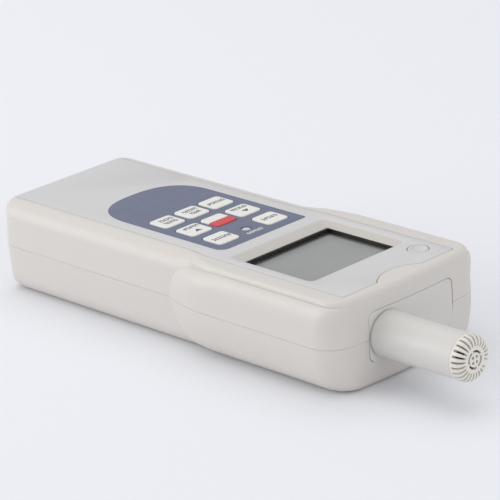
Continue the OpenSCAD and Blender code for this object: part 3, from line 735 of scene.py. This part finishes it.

# The half of the middle key toward the display is red. The faceplate's slopes around the display, and all
# its faces below the top, get a darker, warmer painted shade.
tint_along(power_key_plastic, "Y", KEY_MID_Y + 0.15, KEY_MID_Y + 0.3, KEY_RED, 0.12)
tint_along(plate_plastic, "Z", CASE_H - 0.12, CASE_H - 0.3, PAINTED_SLOPE_SHADE)


def plate_ring(grow, level, rear=None):
    """Faceplate outline grown by grow: wider front, tight front corners, round notch at the end."""
    rear = PLATE_LOW[1] if rear is None else rear
    slim, wide = PLATE_REAR_HALF + grow, PLATE_FRONT_HALF + grow
    start, stop = PLATE_GROWTH_Y
    right = [(slim, rear + (start - rear) * i / 8) for i in range(9)]
    for i in range(1, 17):
        right.append((slim + (wide - slim) * smooth(i / 16), start + (stop - start) * i / 16))
    front = PLATE_FRONT_Y + grow
    corner_y = front - PLATE_CORNER
    right += [(wide, stop + (corner_y - stop) * i / 8) for i in range(1, 8)]
    right += arc(wide - PLATE_CORNER, corner_y, PLATE_CORNER, 0, 90, 8)
    radius = NOTCH_R - grow
    meet = math.degrees(math.asin((NOTCH_Y - front) / radius))
    meet_x = radius * math.cos(math.radians(meet))
    begin_x = wide - PLATE_CORNER
    right += [(begin_x + (meet_x - begin_x) * i / 6, front) for i in range(1, 6)]
    right += arc(0, NOTCH_Y, radius, -meet, -90, 14)
    left = [(-x, y) for x, y in reversed(right[:-1])]
    return [(x, y, level) for x, y in right + left]


def overlay_ring(grow, level):
    """Keypad film outline grown by grow: two front corners and a full, rounded rear end."""
    half, front = OVERLAY_HIGH[0] + grow, OVERLAY_HIGH[1] + grow
    big, small = OVERLAY_CORNER, OVERLAY_LEFT_CORNER
    points = arc(half - big, front - big, big, 0, 90, 10)
    points += arc(small - half, front - small, small, 90, 180, 10)
    for i in range(65):
        a = math.radians(180 + 180 * i / 64)
        across, along = (
            math.copysign(abs(v) ** (2 / OVERLAY_POWER), v) for v in (math.cos(a), math.sin(a))
        )
        points.append((half * across, OVERLAY_ARC_Y + (OVERLAY_DEPTH + grow) * along))
    return [(x, y, level) for x, y in points]


def key_centre(place):
    """Centre of the key at a (column, row) place."""
    return place[0] * KEY_PITCH_X, KEY_MID_Y + place[1] * KEY_PITCH_Y


def key_cutters(bottom, top, flare=0.1):
    """Openings for the eight keys and the lamp, opening out a little at the surface."""
    cutters = []
    steps = ((0, bottom), (0, top - flare), (2 * flare, top + flare), (2 * flare, top + 1))
    for place in KEYS.values():
        cx, cy = key_centre(place)
        outlines = []
        for widen, z in steps:
            gap = KEY_GAP + widen
            outline = rounded(KEY_W + 2 * gap, KEY_L + 2 * gap, KEY_R + KEY_GAP + widen, 8, cx, cy)
            outlines.append((outline, z))
        cutters.append(flat_stack("opening", outlines))
    cutters.append(rod("opening", 0, LED_Y, LED_HOLE_R, bottom, top + 1))
    return cutters


# ------------------------------------------------------------------ case halves

CASE_SCREWS = ((-21.5, -19.0), (-21.5, 18.8), (21.5, -19.0), (21.5, 18.8))
BOARD_SCREWS = ((-18.5, -33.0), (18.5, -33.0), (18.5, 65.0), (-8.0, 66.0))
END_HALF, END_GAP, END_CORNER = 19.05, 0.16, 2.6
END_X = -0.35
END_SETBACK = 0.04
END_Z = (8.45, 25.2)
LIP_INSET = 1.3
TONGUE_X = 25.45
LEAD_X, LEAD_Z = 16.05, 12.4

UPPER_LEVELS = [SEAM_Z + SEAM_GAP + SEAM_CHAMFER] + [17.5 + i for i in range(7)]
UPPER_LEVELS += [24.0, 24.7, 25.4, 26.0, 26.6, 27.1, 27.6, 28.0, 28.3, 28.5, 28.6]
UPPER_LEVELS += [28.7 + 0.12 * i for i in range(24)] + [31.55, 31.61, 31.65, 31.68, CASE_H]
LOWER_LEVELS = [LOW_FILLET * (1 - math.cos(math.radians(15 * i))) for i in range(7)]
LOWER_LEVELS += [7.0 + i for i in range(10)] + [SEAM_Z - SEAM_GAP - SEAM_CHAMFER]


def end_cutter():
    """The opening both halves leave for the end plate."""
    w, h = 2 * (END_HALF + END_GAP), END_Z[1] - END_Z[0] + 2 * END_GAP
    mid = (END_Z[0] + END_Z[1]) / 2
    ring = rounded(w, h, END_CORNER + END_GAP, 8)
    return loft("opening", [[(x + END_X, y, mid - v) for x, v in ring] for y in (74.0, 90.0)])


upper = loft(
    "case_upper",
    [case_ring(SEAM_Z, SEAM_CHAMFER, SEAM_Z + SEAM_GAP)]
    + [case_ring(z) for z in UPPER_LEVELS],
)
void_levels = [15.0, 17.0, 20.0, 22.0, 24.0, 25.7, 27.0, DECK_UNDER]
void = loft("void", [case_ring(max(z, SEAM_Z), WALL, z) for z in void_levels])
combine(upper, [void], "DIFFERENCE")
posts = [rod("post", x, y, 2.9, SEAM_Z + 0.1, DECK_UNDER + 1) for x, y in CASE_SCREWS]
posts += [rod("post", x, y, 2.5, 24.8, DECK_UNDER + 1) for x, y in BOARD_SCREWS]
combine(upper, posts, "UNION")
cutters = [
    loft("recess", [
        plate_ring(PLATE_GAP, DECK_TOP, -92),
        plate_ring(PLATE_GAP, CASE_H - 0.05, -92),
        plate_ring(PLATE_GAP + 0.03, CASE_H + 0.02, -92),
        plate_ring(PLATE_GAP + 0.03, CASE_H + 2, -92),
    ]),
    block("opening", (-16.8, KEY_MID_Y - KEYPAD_REACH, 26), (16.8, KEY_MID_Y + KEYPAD_REACH, 31)),
    block("opening", (-22.1, 23.9, 26), (22.1, 59.7, 31)),
    rod("opening", BUTTON_X, BUTTON_Y, 4.4, 26, 31),
    loft("rebate", [case_ring(SEAM_Z, LIP_INSET - 0.1, z) for z in (15.0, 18.0)]),
    end_cutter(),
]
cutters += [rod("bore", x, y, 1.26, 15, 25) for x, y in CASE_SCREWS]
cutters += [rod("bore", x, y, 1.02, 24, 27.4) for x, y in BOARD_SCREWS]
combine(upper, cutters, "DIFFERENCE")
tongues = []
for side in (-1, 1):
    x = TONGUE_X * side
    tongues.append(block("tongue", (x - 0.75, -77.9, 14.5), (x + 0.75, -77.1, 19.5)))
    tongues.append(block("tongue", (x - 0.7, -78.6, 18.35), (x + 0.7, -77.2, 19.4)))
combine(upper, tongues, "UNION")
stand_in(upper, "upper_case", case_plastic)

lower = loft(
    "case_lower",
    [case_ring(z) for z in LOWER_LEVELS]
    + [case_ring(SEAM_Z, SEAM_CHAMFER, SEAM_Z - SEAM_GAP)],
)
void_levels = [WALL, 2.8, 4.0, 6.0, 8.0, 10.0, 12.0, 14.0, SEAM_Z, 18.0]
void = loft("void", [case_ring(min(z, SEAM_Z), WALL, z) for z in void_levels])
combine(lower, [void], "DIFFERENCE")
lip = loft("lip", [case_ring(SEAM_Z, LIP_INSET, z) for z in (15.2, 17.9)])
void = loft("void", [case_ring(SEAM_Z, WALL - 0.05, z) for z in (15.0, 18.1)])
combine(lip, [void], "DIFFERENCE")
solids = [
    lip,
    block("compartment", (-24.2, -78.8, 1.5), (24.2, -26.0, 15.6)),
    rod("post", 0, INSERT_Y, 6.6, 1.2, 10.5),
]
solids += [rod("post", x, y, 3.6, 1.2, SEAM_Z - 0.05) for x, y in CASE_SCREWS]
combine(lower, solids, "UNION")
cutters = [
    end_cutter(),
    block("opening", (-21.9, -90, -1), (21.9, -26.4, 2.3)),
    block("opening", (-23.2, -90, 0.95), (23.2, -29.8, 2.15)),
    block("compartment", (-21.9, -77.7, 1.0), (21.9, -27.5, 14.4)),
    rod("bore", 0, INSERT_Y, 4.55, -1, 8.6),
]
lead_bore = [(0, -28.5), (0.85, -28.5), (0.85, -24.5), (0, -24.5)]
screw_bore = [(0, -1), (3.0, -1), (2.6, 0.25), (2.6, 8), (1.5, 8), (1.5, 18), (0, 18)]
for side in (-1, 1):
    cutters.append(lathe(
        "bore", lead_bore, lambda u, v, h, s=side: (s * LEAD_X + u, h, LEAD_Z - v), 32,
    ))
cutters += [lathe("bore", screw_bore, upright(x, y), 48) for x, y in CASE_SCREWS]
combine(lower, cutters, "DIFFERENCE")
stand_in(lower, "lower_case", case_plastic)

# ------------------------------------------------------------------ faceplate, overlay, keys

plate = loft("front_plate", [
    plate_ring(0, DECK_TOP, -90),
    plate_ring(0, CASE_H - 0.03, -90),
    plate_ring(-0.01, CASE_H - 0.01, -90),
    plate_ring(-0.03, CASE_H, -90),
])
limit_levels = [DECK_TOP - 1, DECK_TOP, 30.0] + [30.2 + 0.15 * i for i in range(9)]
limit_levels += [31.5, 31.6, 31.66, CASE_H]
limit = loft(
    "limit",
    [case_ring(z, PLATE_SETBACK) for z in limit_levels]
    + [case_ring(CASE_H, PLATE_SETBACK, CASE_H + 1)],
)
combine(plate, [limit], "INTERSECT")  # the plate's rear end and corners follow the case
bezel_rings = []
for inset, radius, z in (
    (BEZEL_SLOPE, 0.3, DECK_TOP - 1),
    (BEZEL_SLOPE, 0.3, DECK_TOP + 0.06),
    (BEZEL_SLOPE - 0.2, 0.5, DECK_TOP + 0.3),
    (0.22, 1.9, CASE_H - 0.22),
    (0.0, 2.1, CASE_H - 0.06),
    (-0.14, 2.2, CASE_H + 0.02),
    (-0.3, 2.3, CASE_H + 1),
):
    rear = BEZEL_Y[0] + inset * BEZEL_REAR_SLOPE / BEZEL_SLOPE
    front = BEZEL_Y[1] - inset * BEZEL_FRONT_SLOPE / BEZEL_SLOPE
    width, middle = 2 * (BEZEL_HALF - inset), (rear + front) / 2
    bezel_rings.append((rounded(width, front - rear, radius, 10, 0, middle), z))
button_hole = [
    (0, 29), (3.64, 29), (3.64, CASE_H - 0.1), (3.84, CASE_H + 0.1), (3.84, CASE_H + 1),
    (0, CASE_H + 1),
]
cutters = [
    loft("pocket", [overlay_ring(0.08, z) for z in (OVERLAY_LOW[2], CASE_H + 1)]),
    flat_stack("bezel", bezel_rings),
    lathe("bore", button_hole, upright(BUTTON_X, BUTTON_Y)),
]
combine(plate, cutters + key_cutters(29.0, OVERLAY_LOW[2], 0.02), "DIFFERENCE")
stand_in(plate, "faceplate", plate_plastic)

film = loft("overlay_film", [
    overlay_ring(0, OVERLAY_LOW[2] + 0.01),
    overlay_ring(0, CASE_H - 0.04),
    overlay_ring(-0.05, CASE_H - 0.005),
])
combine(film, key_cutters(30.5, CASE_H, 0.04), "DIFFERENCE")
stand_in(film, "keypad_overlay", overlay_film)

KEY_FLANGE = 0.6
KEY_RIM = 0.38
marks_random = random.Random(11)


def key_outline(inset, cx, cy):
    """Key outline pulled in by inset, or widened where inset is below zero."""
    radius = max(KEY_R - inset * 0.6, 0.3)
    return rounded(KEY_W - 2 * inset, KEY_L - 2 * inset, radius, 8, cx, cy)


def key_body(name, place):
    """Moulded key: hidden flange, straight skirt, rounded rim and a barely crowned top."""
    cx, cy = key_centre(place)
    outlines = [(key_outline(-KEY_FLANGE, cx, cy), z) for z in (28.9, 29.6)]
    outlines += [(key_outline(0, cx, cy), z) for z in (29.6, 31.2)]
    for i in range(7):
        a = math.radians(15 * i)
        outline = key_outline(KEY_RIM * (1 - math.cos(a)), cx, cy)
        outlines.append((outline, KEY_TOP - 0.05 - KEY_RIM * (1 - math.sin(a))))
    for inset, drop in ((1.2, 0.032), (2.4, 0.022)):
        outlines.append((key_outline(inset, cx, cy), KEY_TOP - drop))
    return flat_stack(name, outlines)


def ink_block(x0, x1, y0, y1, z0, z1):
    """One straight printed stroke."""
    return block("ink", (x0, y0, z0), (x1, y1, z1))


def word_marks(cx, cy, length, height, z0, z1):
    """A row of small strokes that reads as printing from afar and spells nothing."""
    strokes, x, stem = [], cx - length / 2, 0.34
    while x < cx + length / 2 - 0.5:
        w = 0.62 + 0.3 * marks_random.random()
        strokes.append(ink_block(x, x + stem, cy - height / 2, cy + height / 2, z0, z1))
        for level in marks_random.sample((-0.5, -0.12, 0.3), 2):
            y = cy + height * level
            strokes.append(ink_block(x + stem, x + w, y, y + 0.22 * height, z0, z1))
        x += w + 0.2
    return strokes


def triangle_mark(cx, cy, width, depth, z0, z1):
    """A printed arrow head that points toward the display, or away where depth is below zero."""
    base_y = cy - depth / 2
    ring = [(cx - width / 2, base_y), (cx + width / 2, base_y), (cx, cy + depth / 2)]
    if depth < 0:
        ring.reverse()
    return loft("ink", [[(x, y, z) for x, y in ring] for z in (z0, z1)])


INK_LOW, INK_HIGH = KEY_TOP - 0.3, KEY_TOP - 0.008
MARKS = {
    "key_upper_right": [(0.0, 0.1, 7.6, 1.8)],
    "key_upper_left": [(0.3, -0.2, 7.0, 1.8)],
    "key_arrow_right": [(-0.2, -2.1, 6.8, 1.7)],
    "key_arrow_left": [(-0.2, -2.1, 6.4, 1.7)],
    "key_lower_right": [(-0.3, -1.4, 6.2, 1.8), (-0.3, 1.4, 5.4, 1.8)],
    "key_lower_centre": [(0.0, -1.4, 6.4, 1.8), (0.0, 1.4, 4.8, 1.8)],
    "key_lower_left": [(0.0, 0.0, 7.2, 1.7)],
}
ARROWS = {"key_arrow_right": -1, "key_arrow_left": 1}

for key, place in KEYS.items():
    body = key + "_body"
    plastic = power_key_plastic if key == "key_power" else key_plastic
    cap = key_body(key + "_cap", place)
    stand_in(cap, key, plastic, body)
    cx, cy = key_centre(place)
    if key == "key_power":
        continue
    marks = []
    for dx, dy, length, height in MARKS[key]:
        marks += word_marks(cx + dx, cy + dy, length, height, INK_LOW, INK_HIGH)
    if key in ARROWS:
        marks.append(triangle_mark(cx - 0.3, cy + 1.4, 3.0, 1.9 * ARROWS[key], INK_LOW, INK_HIGH))
    finish(join(key + "_print", marks), legend_ink, body)

lamp_words = word_marks(0, LED_Y + 3.9, 6.8, 1.4, CASE_H - 0.3, CASE_H + 0.012)
finish(join("overlay_print", lamp_words), light_ink)

lamp_profile = [(0, 24.8), (1.95, 24.8), (1.95, 25.8), (LED_R, 25.8), (LED_R, LED_SHOULDER_Z)]
for degrees in range(10, 90, 10):
    a = math.radians(degrees)
    lamp_profile.append((LED_R * math.cos(a), LED_SHOULDER_Z + LED_DOME * math.sin(a)))
lamp_profile.append((0, LED_SHOULDER_Z + LED_DOME))
lamp = lathe("alarm_lamp", lamp_profile, upright(0, LED_Y), 48)
stand_in(lamp, "alarm_led", lamp_plastic)

button = lathe("round_button_cap", [
    (0, 28.9), (4.1, 28.9), (4.1, 29.6), (3.4, 29.6), (3.4, 31.42), (3.36, 31.56), (3.26, 31.66),
    (3.12, 31.7), (2.62, 31.7), (2.5, 31.68), (2.41, 31.62), (2.36, 31.52), (2.3, 31.42),
    (2.18, 31.36), (0, 31.33),
], upright(BUTTON_X, BUTTON_Y), 96)
stand_in(button, "round_button", button_plastic, "round_button_body")

# ------------------------------------------------------------------ end plate and microphone

BARREL_STEP_Y = HALF_LEN + 0.2
BARREL_NECK_R = MIC_R - 0.2
GRILLE_BASE_Y = MIC_TIP - 3.85
GRILLE_EDGE = 2.4
GRILLE_SLOTS = 25


def end_ring(inset, y):
    """Rounded outline of the end plate.

    Above zero, y is a place along the meter. Below zero, it is measured back from the bowed face.
    """
    w, h = 2 * (END_HALF - inset), END_Z[1] - END_Z[0] - 2 * inset
    mid = (END_Z[0] + END_Z[1]) / 2
    ring = rounded(w, h, max(END_CORNER - inset, 0.4), 10)
    dense = []
    for (x0, v0), (x1, v1) in zip(ring, ring[1:] + ring[:1]):
        steps = 16 if abs(x1 - x0) > 10 else 1
        for i in range(steps):
            dense.append((x0 + (x1 - x0) * i / steps, v0 + (v1 - v0) * i / steps))
    points = []
    for x, v in dense:
        bowed = HALF_LEN - END_SETBACK + y - BOW * (x + END_X) ** 2
        points.append((x + END_X, y if y > 0 else bowed, mid - v))
    return points


end_levels = ((0, 76.6), (0, -0.2), (0.05, -0.08), (0.2, -0.0001), (3.0, -0.0001), (6.0, -0.0001))
end_plate = loft("end_plate_moulding", [end_ring(inset, y) for inset, y in end_levels])
flange = block("flange", (-20.6, 76.3, END_Z[0] - 1.2), (20.6, 77.3, END_Z[1] + 1.2))
combine(end_plate, [flange], "UNION")
bore_r = BARREL_NECK_R + 0.06
bore = lathe("bore", [(0, 70), (6.5, 70), (6.5, 79), (bore_r, 79), (bore_r, 90), (0, 90)], along_mic)
combine(end_plate, [bore], "DIFFERENCE")
stand_in(end_plate, "end_plate", barrel_plastic)

barrel = tube("mic_barrel_tube", [
    (5.6, 71), (6.44, 71), (6.44, 79), (BARREL_NECK_R, 79), (BARREL_NECK_R, BARREL_STEP_Y),
    (MIC_R + 0.22, BARREL_STEP_Y), (MIC_R + 0.3, BARREL_STEP_Y + 0.1),
    (MIC_R + 0.26, BARREL_STEP_Y + 1.2), (MIC_R + 0.13, BARREL_STEP_Y + 3),
    (MIC_R + 0.03, BARREL_STEP_Y + 5), (MIC_R, BARREL_STEP_Y + 7), (MIC_R, GRILLE_BASE_Y - 0.13),
    (MIC_R - 0.06, GRILLE_BASE_Y - 0.05), (6.35, GRILLE_BASE_Y - 0.05),
    (6.35, MIC_TIP - 8), (5.6, MIC_TIP - 8),
], along_mic, 160)
stand_in(barrel, "mic_barrel", barrel_plastic)


def spoke(name, ring, angle, heights):
    """A solid at an angle around the microphone's axis; ring is (outward, sideways) points."""
    c, s = math.cos(angle), math.sin(angle)
    return loft(name, [[along_mic(r * c - w * s, r * s + w * c, h) for r, w in ring] for h in heights])


dome = [
    (MIC_R - GRILLE_EDGE + GRILLE_EDGE * math.cos(math.radians(a)),
     MIC_TIP - GRILLE_EDGE + GRILLE_EDGE * math.sin(math.radians(a)))
    for a in range(0, 91, 9)
]
grille = lathe("mic_grille_cap", [
    (0, MIC_TIP - 1.1), (4.6, MIC_TIP - 1.1), (5.5, MIC_TIP - 1.9), (5.5, GRILLE_BASE_Y - 4),
    (6.3, GRILLE_BASE_Y - 4), (6.3, GRILLE_BASE_Y), (MIC_R - 0.05, GRILLE_BASE_Y),
    (MIC_R, GRILLE_BASE_Y + 0.05),
] + dome + [(0, MIC_TIP)], along_mic, 200)
slot_outline = [(4.3, -0.24), (7.2, -0.36), (9.5, -0.44), (9.5, 0.44), (7.2, 0.36), (4.3, 0.24)]
slots = [
    spoke("slot", slot_outline, 2 * math.pi * (i + 0.5) / GRILLE_SLOTS, (GRILLE_BASE_Y + 0.75, MIC_TIP + 1))
    for i in range(GRILLE_SLOTS)
]
slot_ring = tube("slot", [
    (2.35, MIC_TIP - 2), (3.05, MIC_TIP - 2), (3.05, MIC_TIP + 1), (2.35, MIC_TIP + 1),
], along_mic, 96)
bridge_outline = [(-4, -0.3), (4, -0.3), (4, 0.3), (-4, 0.3)]
bridges = [
    spoke("bridge", bridge_outline, math.radians(degrees), (MIC_TIP - 3, MIC_TIP + 2))
    for degrees in (20, 110)
]
combine(slot_ring, bridges, "DIFFERENCE")
hole_outline = [(0.55, 0), (1.3, -0.62), (1.55, -0.42), (1.65, 0), (1.55, 0.42), (1.3, 0.62)]
holes = [
    spoke("hole", hole_outline, math.radians(degrees), (MIC_TIP - 2, MIC_TIP + 1))
    for degrees in (45, 135, 225, 315)
]
combine(grille, [join("slots", slots)], "DIFFERENCE")
combine(grille, [slot_ring, join("holes", holes)], "DIFFERENCE")
stand_in(grille, "mic_grille", grille_plastic)

# ------------------------------------------------------------------ battery door and tripod insert

DOOR_HALF, DOOR_T = 21.75, 2.0
DOOR_Y = (-80.45, -26.6)
profile = [(DOOR_Y[1], 0.25), (DOOR_Y[1], DOOR_T), (DOOR_Y[0], DOOR_T), (DOOR_Y[0], 1.9)]
for degrees in range(15, 91, 15):
    a = math.radians(degrees)
    profile.append((DOOR_Y[0] + 2 - 2 * math.cos(a), 2 - 2 * math.sin(a)))
profile.append((DOOR_Y[1] - 0.25, 0.0))
door = loft("battery_door_slide", [[(x, y, z) for y, z in profile] for x in (-DOOR_HALF, DOOR_HALF)])
rails = [
    block("rail", (low, -80.3, 1.1), (high, -30, DOOR_T - 0.01))
    for low, high in ((-23.0, -21.4), (21.4, 23.0))
]
latch = block("latch", (-6, -28.6, DOOR_T - 0.3), (6, -27.6, DOOR_T + 0.2))
combine(door, rails + [latch], "UNION")
grooves = []
for i in range(6):
    half, y = 9 - 0.35 * i, -45 + 2.2 * i
    grooves.append(block("groove", (-half, y, -1), (half, y + 1, 0.5)))
combine(door, grooves, "DIFFERENCE")
stand_in(door, "battery_door", case_plastic, "battery_door_body")

THREAD_R, THREAD_PITCH, THREAD_DEPTH = 3.175, 1.27, 0.35
thread = []
for i in range(5):
    z = 0.5 + THREAD_PITCH * i
    thread += [(THREAD_R, z), (THREAD_R - THREAD_DEPTH, z + THREAD_PITCH / 2)]
bush = [(4.53, 0.1), (4.53, 8.5), (0.5, 8.5), (0.5, 7.6), (THREAD_R, 7.6)] + thread[::-1]
insert = tube("tripod_bush", bush + [(3.5, 0.1)], upright(0, INSERT_Y), 64)
stand_in(insert, "tripod_insert", brass)

# ------------------------------------------------------------------ CAD pieces shown as they are

CAD_LOOKS = {
    "window_lens": window_clear, "display_frame": black_plastic, "lcd_glass": lcd_face,
    "backlight_panel": white_diffuser, "zebra_strips": elastomer, "keypad_mat": silicone,
    "main_board": board_laminate, "board_screws": screw_steel, "main_chip": chip_resin,
    "amplifier_chips": chip_resin, "crystal": can_steel, "capacitors": capacitor_sleeve,
    "buzzer": black_plastic, "button_switch": black_plastic, "cable_connector": white_nylon,
    "mic_mesh": mesh_cloth, "mic_capsule": can_steel, "capsule_sleeve": black_rubber,
    "preamp_board": board_laminate, "mic_nut": nut_metal, "mic_seal": black_rubber,
    "mic_cable": cable_jacket, "battery_cells": cell_jacket, "battery_springs": nickel,
    "rear_contacts": nickel, "bridge_contact": nickel, "end_contacts": nickel,
    "battery_leads": lead_jacket, "case_screws": screw_steel,
}
for name, material in CAD_LOOKS.items():
    piece = nodes[name]
    piece.data.materials.clear()
    piece.data.materials.append(material)
    piece.data.shade_smooth()
    piece.data.set_sharp_from_angle(angle=math.radians(30))

# ------------------------------------------------------------------ floor, light and camera

FLOOR_HALF = 4000
floor = mesh_object("floor", [
    (-FLOOR_HALF, -FLOOR_HALF, 0), (FLOOR_HALF, -FLOOR_HALF, 0),
    (FLOOR_HALF, FLOOR_HALF, 0), (-FLOOR_HALF, FLOOR_HALF, 0),
], [(0, 1, 2, 3)])
floor_paint, tree, bsdf = new_material("floor_paper")
paper = remap(tree, noise(tree, 1500, 2), 0, 1)
paper = mix_colour(tree, paper, (0.82, 0.83, 0.865), (0.835, 0.845, 0.88))
tree.links.new(paper, bsdf.inputs["Base Color"])
bsdf.inputs["Roughness"].default_value = 0.9
bsdf.inputs["Specular IOR Level"].default_value = 0.1
floor.data.materials.append(floor_paint)


LIGHT_TARGET = (0, 0, 15)


def area_light(name, place, size, energy, colour=(1, 1, 1)):
    """Soft box at place (mm), aimed at the meter."""
    data = bpy.data.lights.new(name, "AREA")
    data.shape = "RECTANGLE"
    data.size, data.size_y = (s * MM for s in size)
    data.energy = energy
    data.color = colour
    light = bpy.data.objects.new(name, data)
    bpy.context.scene.collection.objects.link(light)
    spot = Vector(place) * MM
    turn = (Vector(LIGHT_TARGET) * MM - spot).to_track_quat("-Z", "Y")
    light.matrix_world = Matrix.Translation(spot) @ turn.to_matrix().to_4x4()
    return light


area_light("key_light", (1015, -945, 470), (1200, 800), 8.9, (1.0, 0.99, 0.975))
area_light("fill", (120, 1385, 575), (900, 900), 3.6)
area_light("overhead", (-300, -300, 1440), (1600, 1600), 6.8)

world = bpy.data.worlds.new("studio")
bpy.context.scene.world = world
world.use_nodes = True
background = world.node_tree.nodes["Background"]
background.inputs["Color"].default_value = (0.97, 0.98, 1.0, 1)
background.inputs["Strength"].default_value = 0.65

CAMERA_AZIMUTH, CAMERA_ELEVATION, CAMERA_ROLL = 46.742, 20.719, -4.082
CAMERA_DISTANCE, CAMERA_TARGET = 994.83, (-15.23, -6.72, 16.0)
azimuth, elevation = math.radians(CAMERA_AZIMUTH), math.radians(CAMERA_ELEVATION)
roll = math.radians(CAMERA_ROLL)
reach = math.cos(elevation)
back = Vector((math.cos(azimuth) * reach, math.sin(azimuth) * reach, math.sin(elevation)))
level_right = Vector((0, 0, 1)).cross(back).normalized()
level_up = back.cross(level_right)
right = math.cos(roll) * level_right + math.sin(roll) * level_up
up = math.cos(roll) * level_up - math.sin(roll) * level_right
camera_data = bpy.data.cameras.new("camera")
camera_data.lens = 215.11
camera_data.sensor_width = 36
camera_data.clip_end = 50
camera = bpy.data.objects.new("camera", camera_data)
bpy.context.scene.collection.objects.link(camera)
camera_place = (Vector(CAMERA_TARGET) + back * CAMERA_DISTANCE) * MM
camera_turn = Matrix((right, up, back)).transposed().to_4x4()
camera.matrix_world = Matrix.Translation(camera_place) @ camera_turn
bpy.context.scene.camera = camera
bpy.context.scene.view_settings.view_transform = "Standard"
